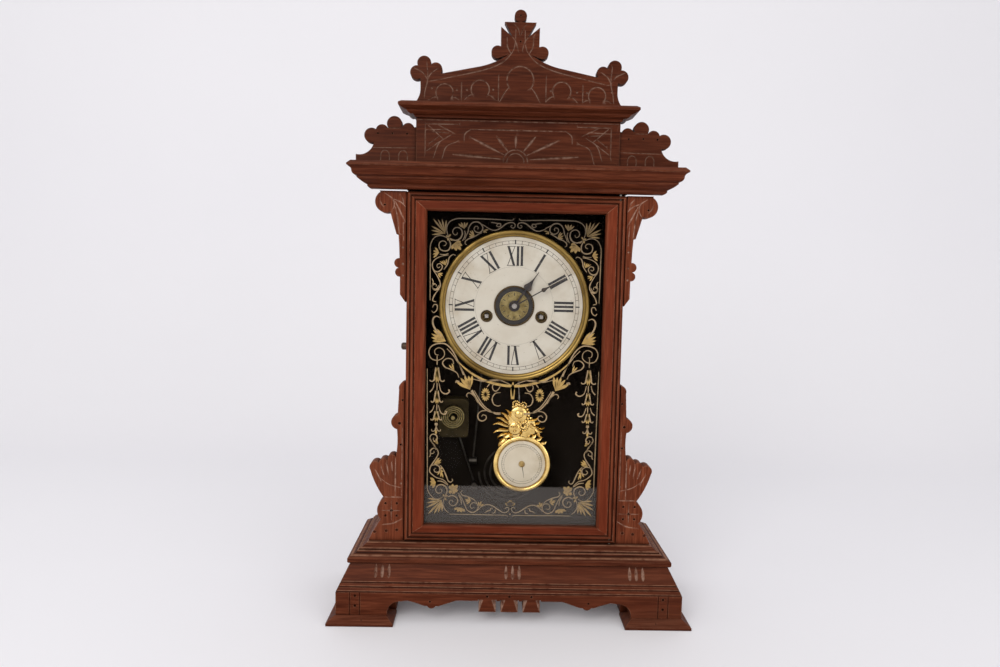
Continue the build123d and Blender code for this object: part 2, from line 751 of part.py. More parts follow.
def build_plates(dial_posts):
    through = running_fit + 0.05
    holes = [(0, dial_z, centre_arbor_radius + through), (0, suspension_z, 1.5 + through)]
    holes += [(s * winding_x, winding_z, winding_arbor_radius + through) for s in (-1, 1)]
    reach = 60.0 / math.sqrt(2)
    face = plate_face()
    for x, z, radius in holes:
        face -= disc(x, z, radius)
    for sx in (-1, 1):
        for sz in (-1, 1):
            face -= disc(sx * reach, dial_z + sz * reach, 2.2)
    front = board(face, front_plate_y, plate_thickness)
    back = board(face, back_plate_y, plate_thickness)
    save("movement_plates", Compound([front, back]))

    posts = [rod_y(x, z, pillar_radius, front_plate_y + plate_thickness, back_plate_y) for x, z in pillar_places()]
    posts += [rod_y(x, z, leg_radius, back_plate_y + plate_thickness, back_board_front) for x, z in pillar_places()]
    stud_z = suspension_z + 9.0
    posts.append(rod_y(0, stud_z, 2.0, suspension_y - 3, front_plate_y))
    save("movement_pillars", Compound(posts + dial_posts))

    springs = [spiral_strip("mainspring", side * winding_x, winding_z, spring_inner,
                            spring_turns, spring_y, spring_width)
               for side in (-1, 1)]
    save("mainsprings", Compound(springs))


def winding_arbor(x):
    body = rod_y(x, winding_z, winding_arbor_radius, dial_front + 6, back_plate_y + plate_thickness)
    square = Box(winding_square * 0.8, 8, winding_square * 0.8)
    square = Pos(x, (dial_front - 2 + dial_front + 6) / 2, winding_z) * square
    wheel = toothed_wheel(72, great_wheel_radius, 1.3, great_wheel_y, wheel_thickness + 0.8, x, winding_z)
    return body + square + wheel


def geared(x, z, wheel_radius, teeth, wheel_y, pinion_radius, pinion_y):
    """A wheel and its pinion on one arbor."""
    body = arbor(x, z, 1.2)
    body += toothed_wheel(teeth, wheel_radius, 1.1, wheel_y, wheel_thickness, x, z)
    body += rod_y(x, z, pinion_radius, pinion_y, pinion_y + wheel_thickness + 0.8)
    return body


def build_trains():
    save("time_winding_arbor", winding_arbor(winding_x))
    save("strike_winding_arbor", winding_arbor(-winding_x))

    centre = rod_y(0, dial_z, centre_arbor_radius, minute_hand_front - 1.2, back_plate_y + plate_thickness)
    centre += toothed_wheel(60, centre_wheel_radius, 1.2, centre_wheel_y, wheel_thickness, 0, dial_z)
    centre += rod_y(0, dial_z, centre_pinion, great_wheel_y, great_wheel_y + 2)
    nut = ring_y(0, dial_z, 2.6, centre_arbor_radius, minute_hand_front - 1.4, minute_hand_front)
    save("centre_arbor", centre + nut)

    save("third_wheel", geared(*third_at, third_wheel_radius, 54, third_wheel_y, third_pinion, centre_wheel_y - 0.4))
    save("escape_wheel", geared(*escape_at, escape_wheel_radius, 30, escape_wheel_y, small_pinion,
                                third_wheel_y - 0.4))
    save("strike_pin_wheel", geared(*strike_second_at, strike_wheel_radius, 56, strike_wheel_y,
                                    strike_pinion, great_wheel_y))
    x, z = fly_at
    fly = arbor(x, z, 1.2) + rod_y(x, z, small_pinion, strike_wheel_y - 0.4, strike_wheel_y + 1.6)
    fly += block(x - 8.6, x + 8.6, 24.5, 31.5, z - 0.5, z + 0.5)
    save("strike_fly", fly)


def lean(shape):
    """Turn what hangs from the suspension to where the pendulum was photographed."""
    return shape.rotate(Axis((0, 0, suspension_z), (0, 1, 0)), -pendulum_lean)


def build_verge():
    ex, ez = escape_at
    span = outline((ex, ez), (ex + 40 * math.cos(math.radians(40)), ez + 40 * math.sin(math.radians(40))),
                   (ex, ez + 40), (ex - 40 * math.cos(math.radians(40)), ez + 40 * math.sin(math.radians(40))))
    pallets = (disc(ex, ez, escape_wheel_radius + 3.4) - disc(ex, ez, escape_wheel_radius + 1.8)) & span
    pallets += disc(0, suspension_z, 2.6)
    crutch_y = suspension_y + 4.2
    fork_z = suspension_z - 15.0
    gap = rod_radius + 0.35
    shaft = rod_y(0, suspension_z, 1.5, crutch_y - 0.8, back_plate_y - 0.2)
    arm = block(-1.2, 1.2, crutch_y - 0.8, crutch_y + 0.4, fork_z - 1, suspension_z)
    bridge = block(-gap - 1, gap + 1, crutch_y - 0.8, crutch_y + 0.4, fork_z - 1, fork_z + 1)
    prongs = [block(s * gap - (1 if s < 0 else 0), s * gap + (1 if s > 0 else 0),
                    suspension_y - 2.0, crutch_y, fork_z - 1, fork_z + 1) for s in (-1, 1)]
    swinging = board(pallets, escape_wheel_y, wheel_thickness) + arm + bridge + prongs[0] + prongs[1]
    save("verge", lean(swinging) + shaft)


def build_pendulum():
    top = suspension_z
    y = suspension_y
    bob_z = top - pendulum_length
    points = [(0, y, top + 6), (0, y, top - 21), (rod_jog, y, top - 27), (rod_jog, y, top - 41),
              (0, y, top - 47), (0, y, bob_z + bob_radius + 0.1)]
    save("pendulum_rod", lean(wire_tube(points, rod_radius)))

    rim_middle = (bob_radius + bob_face_radius) / 2
    shell = outline((0, bob_front + bob_depth), (bob_radius * 0.7, bob_front + bob_depth),
                    (bob_radius - 2.2, bob_front + bob_depth * 0.85, bob_radius, bob_front + 3.2),
                    (rim_middle, bob_front, bob_face_radius, bob_front + 2.4),
                    (bob_face_radius, bob_front + 3.2), (0, bob_front + 3.2))
    spin_plane = Plane(origin=(0, 0, bob_z), x_dir=(1, 0, 0), z_dir=(0, 0, 1))
    bob = revolve(spin_plane * shell, axis=Axis((0, 0, bob_z), (0, 1, 0)))
    save("bob_shell", lean(bob))
    face = rod_y(0, bob_z, bob_face_radius - 0.2, bob_front + 2.4, bob_front + 3.2)
    save("bob_face", lean(face))

    foot = top - ornament_bottom
    head = top - ornament_top
    half = ornament_half
    leaf = outline((-half, foot), (-half - 1, foot + 7, -half * 0.72, foot + 12),
                   (-half * 0.76, foot + 19, -half * 0.5, foot + 24), (-half * 0.5, foot + 30, -half * 0.3, foot + 33),
                   (-half * 0.32, head - 5, 0, head), (half * 0.32, head - 5, half * 0.3, foot + 33),
                   (half * 0.5, foot + 30, half * 0.5, foot + 24), (half * 0.76, foot + 19, half * 0.72, foot + 12),
                   (half + 1, foot + 7, half, foot))
    leaf -= disc(0, bob_z, bob_radius + 0.1)
    save("bob_ornament", lean(board(leaf, y - rod_radius - 2.4, 2.4)))


# Gong, hammers and alarm

def build_gong():
    """A wire gong: half rings on two centres, swept as one unbroken wire."""
    rings = half_rings(gong_stud + gong_wire, gong_pitch, gong_turns)
    edges = []
    for cx, side, radius in rings:
        ends = (cx + side * radius, cx - side * radius)
        edges.append(ThreePointArc((ends[0], gong_y, gong_z), (cx, gong_y, gong_z + side * radius),
                                   (ends[1], gong_y, gong_z)))
    path = Wire(edges)
    section = Plane(origin=path @ 0, z_dir=path % 0) * Circle(gong_wire)
    coil = sweep(section, path=path)
    print_least_gap("gong", rings, 2 * gong_wire)
    save("gong_coil", coil)
    stud_x = gong_pitch / 4
    stud = rod_y(stud_x, gong_z, gong_stud, gong_y - gong_wire, gong_y + 6)
    base = block(stud_x - 10, stud_x + 10, gong_y + 6, back_board_front, gong_z - 13, gong_z + 9)
    save("gong_block", stud + fillet(base.edges().filter_by(Axis.Y), 3))
    return rings[-1][2]


def hammer(pivot, head_z, head_x1, head_half, head_radius, rod_place):
    """A hammer on a wire: its head lies along X just clear of the gong."""
    px, pz = pivot
    head_x0 = head_x1 - 2 * head_half
    head_x = (head_x0 + head_x1) / 2
    wire = wire_tube([(px, rod_place, pz), (head_x, rod_place, head_z)], 1.0)
    return wire + rod_x(gong_y, head_z, head_radius, head_x0, head_x1)


def build_hammers(gong_radius):
    half_pitch = gong_pitch / 2
    outer_x = half_pitch / 2 * -1
    strike_head_z = gong_z + 13.0
    reach = math.sqrt(gong_radius ** 2 - 13.0 ** 2)
    head_edge = outer_x - reach - gong_wire - hammer_gap - 3.0
    strike = hammer(hammer_pivot, strike_head_z, head_edge, 4.0, 4.0, gong_y)
    strike += rod_y(*hammer_pivot, 1.5, front_plate_y + plate_thickness + 0.3, back_plate_y - 0.3)
    save("strike_hammer", strike)

    pivot = (alarm_x, alarm_z - 12.0)
    rod_place = gong_y + 7.5
    head_z = gong_z - 15.0
    alarm = wire_tube([(pivot[0], rod_place, pivot[1]), (head_edge - 2.0, rod_place, head_z)], 1.0)
    alarm += rod_y(head_edge - 2.0, head_z, 3.4, gong_y - 3, rod_place + 1)
    alarm += rod_y(*pivot, 1.3, alarm_back_y + 1.8, rod_place + 1)
    save("alarm_hammer", alarm)


def build_alarm():
    half_w = alarm_plate_width / 2
    half_h = alarm_plate_height / 2
    plate = Pos(alarm_x, alarm_z) * RectangleRounded(alarm_plate_width, alarm_plate_height, 5)
    plate -= disc(alarm_x, alarm_z + 3, 2.0 + 0.1)
    corners = [(alarm_x + sx * (half_w - 4), alarm_z + sz * (half_h - 4))
               for sx, sz in ((-1, -1), (-1, 1), (1, 1))]
    frame = board(plate, alarm_front_y, 1.2) + board(plate, alarm_back_y, 1.2)
    for x, z in corners:
        frame += rod_y(x, z, 2.0, alarm_front_y + 1.0, back_board_front)
    save("alarm_frame", frame)
    wheel_z = alarm_z + 3
    save("alarm_spring", spiral_strip("alarm spring", alarm_x, wheel_z, 4.0, alarm_spring_turns,
                                      alarm_front_y - 8.2, 8.0))
    body = rod_y(alarm_x, wheel_z, 2.0, alarm_front_y - 14, alarm_back_y + 1.0)
    body += toothed_wheel(40, 11.0, 1.1, alarm_front_y + 5, wheel_thickness, alarm_x, wheel_z)
    save("alarm_arbor", body)


build_base()
build_deck()
build_case()
build_cornice()
build_fretwork()
build_door()
build_latch()
build_plates(build_dial())
build_hands()
build_trains()
build_verge()
build_pendulum()
build_hammers(build_gong())
build_alarm()
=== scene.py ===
import math

import bmesh
import bpy
import numpy as np
from mathutils import Matrix, Vector
from mathutils.geometry import delaunay_2d_cdt


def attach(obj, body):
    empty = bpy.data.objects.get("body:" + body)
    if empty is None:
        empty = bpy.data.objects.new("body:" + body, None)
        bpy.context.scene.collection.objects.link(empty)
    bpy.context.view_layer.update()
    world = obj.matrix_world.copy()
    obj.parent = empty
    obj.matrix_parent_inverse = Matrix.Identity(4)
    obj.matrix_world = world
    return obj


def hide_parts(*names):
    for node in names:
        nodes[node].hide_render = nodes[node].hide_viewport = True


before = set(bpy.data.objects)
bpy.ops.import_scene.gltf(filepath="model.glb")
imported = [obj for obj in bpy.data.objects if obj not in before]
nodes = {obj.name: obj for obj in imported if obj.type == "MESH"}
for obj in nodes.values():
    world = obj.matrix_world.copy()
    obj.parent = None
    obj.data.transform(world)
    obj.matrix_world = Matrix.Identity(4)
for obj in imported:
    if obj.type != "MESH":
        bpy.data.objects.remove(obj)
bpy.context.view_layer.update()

# The room, the camera and the clock are in metres. Sizes of the clock are written in millimetres.
MM = 0.001

DIAL_Z = 316.2
DIAL_FRONT = -5.5
GLASS_BACK = -18.7
DOOR_MIDDLE_Z = 250.85
WINDING_X, WINDING_Z = 28.3, DIAL_Z - 11
PENDULUM_Z = 350.0
BOB_Z = PENDULUM_Z - 203.4
PENDULUM_LEAN = math.radians(3.44)
SKIRT_FRONT = -55.4
SKIRT_BLOCK_TOP = 31.3
SKIRT_SLOPE = math.atan2(12.5, 24.9)


# Materials

def new_material(name):
    made = bpy.data.materials.new(name)
    made.use_nodes = True
    return made, made.node_tree, made.node_tree.nodes["Principled BSDF"]


def node(tree, kind, inputs=None, **settings):
    made = tree.nodes.new(kind)
    for key, value in settings.items():
        setattr(made, key, value)
    for key, value in (inputs or {}).items():
        if isinstance(value, bpy.types.NodeSocket):
            tree.links.new(value, made.inputs[key])
        else:
            made.inputs[key].default_value = value
    return made


def math_node(tree, operation, a, b=0.0):
    return node(tree, "ShaderNodeMath", {0: a, 1: b}, operation=operation).outputs[0]


def blend_colour(tree, share, a, b, how="MIX"):
    made = node(tree, "ShaderNodeMix", data_type="RGBA", blend_type=how)
    for place, value in ((0, share), (6, a), (7, b)):
        if isinstance(value, bpy.types.NodeSocket):
            tree.links.new(value, made.inputs[place])
        else:
            made.inputs[place].default_value = value
    return made.outputs[2]


def ramp(tree, value, low, high):
    """0 below low, 1 above high."""
    made = node(tree, "ShaderNodeMapRange", {"Value": value, "From Min": low, "From Max": high})
    return made.outputs["Result"]


def noise(tree, place, scale, detail=4.0, stretch=(1, 1, 1), distortion=0.0):
    mapped = node(tree, "ShaderNodeMapping", {"Vector": place, "Scale": stretch})
    made = node(tree, "ShaderNodeTexNoise", {"Vector": mapped.outputs[0], "Scale": scale, "Detail": detail,
                                             "Distortion": distortion})
    return made.outputs["Fac"]


def object_place(tree):
    place = node(tree, "ShaderNodeTexCoord").outputs["Object"]
    split = node(tree, "ShaderNodeSeparateXYZ", {0: place})
    return place, split.outputs[0], split.outputs[1], split.outputs[2]


def between(tree, value, low, high, soft):
    """1 where the value lies between two limits, with soft ends."""
    up = ramp(tree, value, low - soft, low + soft)
    down = ramp(tree, value, high + soft, high - soft)
    return math_node(tree, "MULTIPLY", up, down)


DARK = (0.05, 0.0105, 0.0038, 1)
MIDDLE = (0.088, 0.0195, 0.0075, 1)
LIGHT = (0.145, 0.038, 0.0165, 1)
# Pale dust colour of rubbed edges and haze, also used for painted highlights on mouldings.
DUST_AND_HIGHLIGHT = (0.26, 0.125, 0.075, 1)
RED = (0.085, 0.0135, 0.0045, 1)
# Near black used as painted shade inside the case.
INSIDE_SHADE = (0.019, 0.0145, 0.011, 1)


def walnut(name, grain, tone=1.0, red_field=None, shaded_inside=None, floor_dust=False, rubbed=0.7,
           painted_moulding_bands=()):
    """Old varnished walnut: grain along one axis, rubbed edges, dust in cut lines, dust and a painted sheen
    on upward faces, and painted shade in creases.

    A painted moulding band is its height, half its width, and whether it is a painted highlight or, if not, a
    painted shadow in a groove.
    """
    made, tree, shader = new_material(name)
    place, x, y, z = object_place(tree)
    stretch = {"x": (0.06, 1, 1), "z": (1, 1, 0.06), "y": (1, 0.06, 1)}[grain]
    broad = noise(tree, place, 46, 5, stretch, 1.4)
    fine = noise(tree, place, 520, 5, stretch, 0.2)
    pores = noise(tree, place, 1500, 2, {"x": (0.03, 1, 1), "z": (1, 1, 0.03), "y": (1, 0.03, 1)}[grain])
    blotch = noise(tree, place, 9, 3)
    colour = blend_colour(tree, ramp(tree, broad, 0.28, 0.72), DARK, MIDDLE)
    colour = blend_colour(tree, ramp(tree, fine, 0.42, 0.78), colour, LIGHT)
    if red_field:
        axis, low, high = red_field
        height = math_node(tree, "ABSOLUTE", x if axis == "x" else
                           math_node(tree, "SUBTRACT", z, DOOR_MIDDLE_Z * MM))
        field = between(tree, height, low * MM, high * MM, 0.0003)
        redder = blend_colour(tree, ramp(tree, fine, 0.4, 0.75), RED, (0.13, 0.025, 0.0095, 1))
        colour = blend_colour(tree, math_node(tree, "MULTIPLY", field, 0.85), colour, redder)
    colour = blend_colour(tree, math_node(tree, "MULTIPLY", ramp(tree, blotch, 0.45, 0.7), 0.3), colour,
                          (0.03, 0.0065, 0.003, 1))
    pore_mark = ramp(tree, pores, 0.62, 0.74)
    colour = blend_colour(tree, math_node(tree, "MULTIPLY", pore_mark, 0.5), colour,
                          (0.016, 0.0035, 0.0015, 1))
    shader.inputs["Specular IOR Level"].default_value = 0.05
    geometry = node(tree, "ShaderNodeNewGeometry")
    rounded = node(tree, "ShaderNodeBevel", {"Radius": 0.001}, samples=6)
    facing = node(tree, "ShaderNodeVectorMath", {0: rounded.outputs[0], 1: geometry.outputs["True Normal"]},
                  operation="DOT_PRODUCT").outputs["Value"]
    edge = ramp(tree, facing, 0.995, 0.9)
    scuff = noise(tree, place, 160, 4)
    edge = math_node(tree, "MULTIPLY", edge, ramp(tree, scuff, 0.34, 0.6))
    crease = node(tree, "ShaderNodeAmbientOcclusion", {"Distance": 0.0055}, samples=5).outputs["AO"]
    edge = math_node(tree, "MULTIPLY", edge, ramp(tree, crease, 0.8, 0.97))
    colour = blend_colour(tree, math_node(tree, "MULTIPLY", edge, rubbed), colour, DUST_AND_HIGHLIGHT)
    cut = node(tree, "ShaderNodeAttribute", attribute_name="cut").outputs["Fac"]
    cut_dust = math_node(tree, "MULTIPLY", cut, ramp(tree, noise(tree, place, 240, 3), 0.3, 0.6))
    colour = blend_colour(tree, math_node(tree, "MULTIPLY", cut_dust, 0.85), colour, (0.31, 0.19, 0.14, 1))
    up = node(tree, "ShaderNodeSeparateXYZ", {0: geometry.outputs["True Normal"]}).outputs[2]
    # Upward faces turn a paler grey-pink: partly dust, partly a painted sheen.
    ledge_dust_and_sheen = math_node(tree, "MULTIPLY", ramp(tree, up, 0.5, 0.95), ramp(tree, fine, 0.3, 0.7))
    colour = blend_colour(tree, math_node(tree, "MULTIPLY", ledge_dust_and_sheen, 0.2), colour, (0.17, 0.1, 0.07, 1))
    haze = math_node(tree, "MULTIPLY", ramp(tree, noise(tree, place, 34, 6, stretch), 0.5, 0.74), 0.06)
    colour = blend_colour(tree, haze, colour, DUST_AND_HIGHLIGHT)
    # Painted light and shade on mouldings: at each listed height a band is painted as a pale highlight, or as
    # a near-black shadow in the groove.
    for level, half, pale in painted_moulding_bands:
        band = math_node(tree, "MULTIPLY", between(tree, z, (level - half) * MM, (level + half) * MM, 0.0002),
                         ramp(tree, scuff, 0.25, 0.55) if pale else 0.8)
        colour = blend_colour(tree, band, colour, DUST_AND_HIGHLIGHT if pale else (0.014, 0.004, 0.002, 1))
    # Painted shade: where ambient occlusion finds a crease or recess, the colour darkens towards near black.
    # Cut faces are left as they are.
    unshaded_share = math_node(tree, "MAXIMUM", ramp(tree, crease, 0.4, 0.9), cut)
    crease_shaded = blend_colour(tree, 0.6, colour, (0.012, 0.0032, 0.0016, 1))
    colour = blend_colour(tree, unshaded_share, crease_shaded, colour)
    # Painted shade: inside the case, past a limit along one axis, the wood is painted near black and loses
    # its sheen, where shade falls behind the door.
    if shaded_inside:
        axis, limit = shaded_inside
        value = {"x": math_node(tree, "ABSOLUTE", x), "y": y}[axis]
        inside = ramp(tree, value, limit * MM + 0.0001, limit * MM - 0.0001)
        colour = blend_colour(tree, inside, colour, INSIDE_SHADE)
        shine = math_node(tree, "MULTIPLY", math_node(tree, "SUBTRACT", 1.0, inside), 0.05)
        tree.links.new(shine, shader.inputs["Specular IOR Level"])
    if floor_dust:
        within = math_node(tree, "MULTIPLY", ramp(tree, math_node(tree, "ABSOLUTE", x), 0.1012, 0.1008),
                           ramp(tree, y, -0.0125, -0.0115))
        colour = blend_colour(tree, within, colour, (0.05, 0.04, 0.032, 1))
    colour = blend_colour(tree, 1.0, colour, (tone, tone, tone, 1), "MULTIPLY")
    tree.links.new(colour, shader.inputs["Base Color"])
    rough = math_node(tree, "ADD", math_node(tree, "MULTIPLY", fine, 0.3), 0.27)
    rough = math_node(tree, "ADD", rough, math_node(tree, "MULTIPLY", ledge_dust_and_sheen, 0.3))
    tree.links.new(rough, shader.inputs["Roughness"])
    height = math_node(tree, "ADD", math_node(tree, "MULTIPLY", fine, 0.6),
                       math_node(tree, "MULTIPLY", pore_mark, -0.5))
    bump = node(tree, "ShaderNodeBump", {"Height": height, "Strength": 0.35, "Distance": 0.0003,
                                         "Normal": rounded.outputs[0]})
    tree.links.new(bump.outputs[0], shader.inputs["Normal"])
    return made


def worn_metal(name, bright, dull, rough, scale=90, metallic=1.0):
    """Metal with tarnish in patches and fine scratches."""
    made, tree, shader = new_material(name)
    place = object_place(tree)[0]
    patch = noise(tree, place, scale, 6)
    colour = blend_colour(tree, ramp(tree, patch, 0.36, 0.66), bright, dull)
    crease = node(tree, "ShaderNodeAmbientOcclusion", {"Distance": 0.004}, samples=6)
    colour = blend_colour(tree, ramp(tree, crease.outputs["AO"], 0.85, 0.35), colour,
                          tuple(0.35 * c for c in dull[:3]) + (1,))
    tree.links.new(colour, shader.inputs["Base Color"])
    shader.inputs["Metallic"].default_value = metallic
    rough_patch = math_node(tree, "ADD", math_node(tree, "MULTIPLY", patch, 0.3), rough - 0.15)
    tree.links.new(rough_patch, shader.inputs["Roughness"])
    scratch = noise(tree, place, 900, 3, (1, 1, 0.2))
    bump = node(tree, "ShaderNodeBump", {"Height": scratch, "Strength": 0.15, "Distance": 0.0001})
    tree.links.new(bump.outputs[0], shader.inputs["Normal"])
    return made


def stained_enamel(name, clean, stain, centre_z, edge_radius, rough=0.4):
    """A pale painted disc that has browned towards its rim."""
    made, tree, shader = new_material(name)
    place, x, y, z = object_place(tree)
    down = math_node(tree, "SUBTRACT", z, centre_z * MM)
    square = math_node(tree, "ADD", math_node(tree, "MULTIPLY", x, x),
                       math_node(tree, "MULTIPLY", down, down))
    radius = math_node(tree, "SQRT", square)
    rim = ramp(tree, radius, edge_radius * 0.55 * MM, edge_radius * MM)
    mottled = noise(tree, place, 55, 6)
    share = math_node(tree, "MULTIPLY", math_node(tree, "ADD", rim, 0.35), ramp(tree, mottled, 0.4, 0.72))
    colour = blend_colour(tree, math_node(tree, "MULTIPLY", share, 0.7), clean, stain)
    spots = ramp(tree, noise(tree, place, 420, 2), 0.7, 0.76)
    colour = blend_colour(tree, math_node(tree, "MULTIPLY", spots, 0.5), colour, (0.2, 0.14, 0.09, 1))
    tree.links.new(colour, shader.inputs["Base Color"])
    shader.inputs["Roughness"].default_value = rough
    bump = node(tree, "ShaderNodeBump", {"Height": mottled, "Strength": 0.12, "Distance": 0.0002})
    tree.links.new(bump.outputs[0], shader.inputs["Normal"])
    return made


def thin_glass(name):
    """Clear glass with faint smears, and a hazy strip along its foot that is a painted reflection."""
    made, tree, shader = new_material(name)
    place, x, y, z = object_place(tree)
    smear = math_node(tree, "MULTIPLY", ramp(tree, noise(tree, place, 14, 5, (1, 1, 0.5)), 0.55, 0.8),
                      ramp(tree, z, 0.19, 0.15))
    shader.inputs["Base Color"].default_value = (0.2, 0.18, 0.165, 1)
    shader.inputs["Roughness"].default_value = 0.06
    shader.inputs["Specular IOR Level"].default_value = 0.3
    # Painted reflection: below a height the glass turns a hazy grey, standing for a reflection in the lower
    # glass.
    foot = ramp(tree, z, 0.1305, 0.1285)
    alpha = math_node(tree, "ADD", math_node(tree, "MULTIPLY", smear, 0.03),
                      math_node(tree, "MULTIPLY", foot, 0.16))
    tree.links.new(alpha, shader.inputs["Alpha"])
    return made


def printed(name, colour, worn, rough=0.5, metallic=0.0, shaded_above=None):
    """Ink or gilding with thin worn places."""
    made, tree, shader = new_material(name)
    place = object_place(tree)[0]
    patch = ramp(tree, noise(tree, place, 260, 5), 0.48, 0.7)
    mixed = blend_colour(tree, patch, colour, worn)
    # Painted shade: above the given height the colour darkens over 50 mm towards the top of the glass.
    if shaded_above:
        height = object_place(tree)[3]
        mixed = blend_colour(tree, ramp(tree, height, shaded_above * MM, (shaded_above + 50) * MM), mixed,
                             tuple(0.42 * c for c in worn[:3]) + (1,))
    tree.links.new(mixed, shader.inputs["Base Color"])
    shader.inputs["Metallic"].default_value = metallic
    shader.inputs["Roughness"].default_value = rough
    return made


wood_across = walnut("walnut_across", "x", 1.05)
wood_upright = walnut("walnut_upright", "z", 1.15)
wood_side = walnut("walnut_side", "y")
wood_stile = walnut("walnut_stile", "z", 1.5, red_field=("x", 91.6, 100.3), rubbed=0.85)
wood_rail = walnut("walnut_rail", "x", 1.1, red_field=("z", 161.6, 168.8), rubbed=0.6)
# The case sides and the back board are painted near black inside the case, as shade.
wood_case_side = walnut("walnut_case_side", "z", 1.0, shaded_inside=("x", 101.0))
# The deck and the skirt get painted highlight and shadow bands at the heights of their moulding steps.
wood_deck = walnut("walnut_deck", "x", 0.95, floor_dust=True,
                   painted_moulding_bands=((63.6, 0.35, True), (64.9, 0.4, False), (66.5, 0.25, True),
                                   (67.4, 0.5, False), (68.35, 0.2, True), (72.0, 0.25, True)))
wood_skirt = walnut("walnut_skirt", "x", 1.0,
                    painted_moulding_bands=[(level + above, half, pale) for level in (31.6, 35.7, 39.5)
                                    for above, half, pale in ((0, 0.3, False), (0.8, 0.22, True))])
wood_carved = walnut("walnut_carved", "x", 0.78)
wood_bracket = walnut("walnut_bracket", "z", 1.5)
wood_inner = walnut("walnut_inner", "z", 0.9, shaded_inside=("y", 57.6))
brass = worn_metal("aged_brass", (0.62, 0.44, 0.17, 1), (0.3, 0.19, 0.07, 1), 0.34)
gilt_brass = worn_metal("bright_brass", (0.93, 0.66, 0.24, 1), (0.62, 0.4, 0.12, 1), 0.2)
bezel_brass = worn_metal("bezel_brass", (0.34, 0.225, 0.065, 1), (0.17, 0.105, 0.03, 1), 0.36, 30)
# Painted shade: a near-black copy of brass for the alarm frame inside the case, where shade falls.
shaded_brass = worn_metal("shaded_brass", (0.04, 0.03, 0.014, 1), (0.022, 0.017, 0.009, 1), 0.5)
hub_brass = worn_metal("hub_brass", (0.3, 0.235, 0.1, 1), (0.17, 0.125, 0.05, 1), 0.36, 220)
# Painted shade: a darkened copy of steel for the hammers and gong coil inside the case, where shade falls.
shaded_steel = worn_metal("shaded_steel", (0.09, 0.08, 0.065, 1), (0.05, 0.042, 0.034, 1), 0.5)
old_bronze = worn_metal("old_bronze", (0.09, 0.06, 0.03, 1), (0.04, 0.027, 0.015, 1), 0.42)
steel = worn_metal("dull_steel", (0.42, 0.4, 0.37, 1), (0.17, 0.14, 0.11, 1), 0.4)
blued = worn_metal("blued_steel", (0.018, 0.017, 0.02, 1), (0.05, 0.035, 0.025, 1), 0.42, 200, 0.4)
dark_metal = worn_metal("dark_metal", (0.045, 0.03, 0.02, 1), (0.1, 0.06, 0.035, 1), 0.45, 200, 0.6)
iron = worn_metal("black_iron", (0.02, 0.02, 0.021, 1), (0.045, 0.036, 0.03, 1), 0.6, 200, 0.3)
dial_white = stained_enamel("dial_enamel", (0.53, 0.49, 0.41, 1), (0.36, 0.29, 0.2, 1), DIAL_Z, 72)
bob_pale = stained_enamel("bob_enamel", (0.6, 0.53, 0.41, 1), (0.4, 0.32, 0.2, 1), 147, 27, 0.35)
glass = thin_glass("door_glass_clear")
ink = printed("dial_ink", (0.012, 0.01, 0.01, 1), (0.05, 0.04, 0.035, 1))
worn_line = printed("worn_line", (0.3, 0.27, 0.22, 1), (0.4, 0.36, 0.3, 1))
# The gilding on the glass gets painted shade above 345 mm.
gilding = printed("gilding", (0.44, 0.28, 0.08, 1), (0.26, 0.16, 0.05, 1), 0.45, 0.25, 345)
pale_gilding = printed("pale_gilding", (0.34, 0.235, 0.12, 1), (0.2, 0.135, 0.07, 1), 0.5, 0.15, 345)

node_materials = {
    wood_across: ["foot_pads_front", "foot_pads_back", "top_board", "cornice_front", "upper_cornice"],
    wood_skirt: ["skirt_front"],
    wood_carved: ["crest_board", "crest_wing_left", "crest_wing_right", "frieze_front"],
    wood_side: ["skirt_left", "skirt_right", "cornice_left", "cornice_right", "frieze_sides"],
    wood_bracket: ["upper_bracket_left", "upper_bracket_right", "lower_bracket_left", "lower_bracket_right"],
    wood_stile: ["door_stile_left", "door_stile_right"],
    wood_rail: ["door_rail_top", "door_rail_bottom"],
    wood_case_side: ["case_side_left", "case_side_right"],
    wood_deck: ["base_deck"],
    wood_inner: ["back_board"],
    wood_upright: ["glue_blocks", "glass_beads"],
    glass: ["door_glass"],
    bezel_brass: ["dial_bezel"],
    gilt_brass: ["bob_shell", "bob_ornament"],
    brass: ["latch_staple", "movement_plates", "movement_pillars", "third_wheel", "escape_wheel",
            "strike_pin_wheel", "strike_fly"],
    hub_brass: ["alarm_disc", "alarm_arbor", "alarm_spring"],
    steel: ["door_pivots", "mainsprings", "time_winding_arbor", "strike_winding_arbor", "verge",
            "centre_arbor", "pendulum_rod"],
    shaded_brass: ["alarm_frame"],
    shaded_steel: ["strike_hammer", "gong_coil", "alarm_hammer"],
    blued: ["minute_hand", "hour_hand"],
    dark_metal: ["door_latch"],
    iron: ["gong_block"],
    dial_white: ["dial_pan"],
    bob_pale: ["bob_face"],
}
for finish, names in node_materials.items():
    for name in names:
        for place in nodes[name].material_slots:
            place.material = finish


# Mesh building

def piece(name, points, faces, finish, body, stands_for=(), smooth_angle=40.0):
    """A finished piece. Its points are in millimetres, in the clock's own frame."""
    mesh = bpy.data.meshes.new(name)
    mesh.from_pydata([(x * MM, y * MM, z * MM) for x, y, z in points], [], faces)
    shape = bmesh.new()
    shape.from_mesh(mesh)
    bmesh.ops.remove_doubles(shape, verts=shape.verts, dist=2e-7)
    bmesh.ops.recalc_face_normals(shape, faces=shape.faces)
    shape.to_mesh(mesh)
    shape.free()
    mesh.materials.append(finish)
    mesh.shade_smooth()
    mesh.set_sharp_from_angle(angle=math.radians(smooth_angle))
    made = bpy.data.objects.new(name, mesh)
    bpy.context.scene.collection.objects.link(made)
    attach(made, body)
    if stands_for:
        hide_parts(*stands_for)
    return made


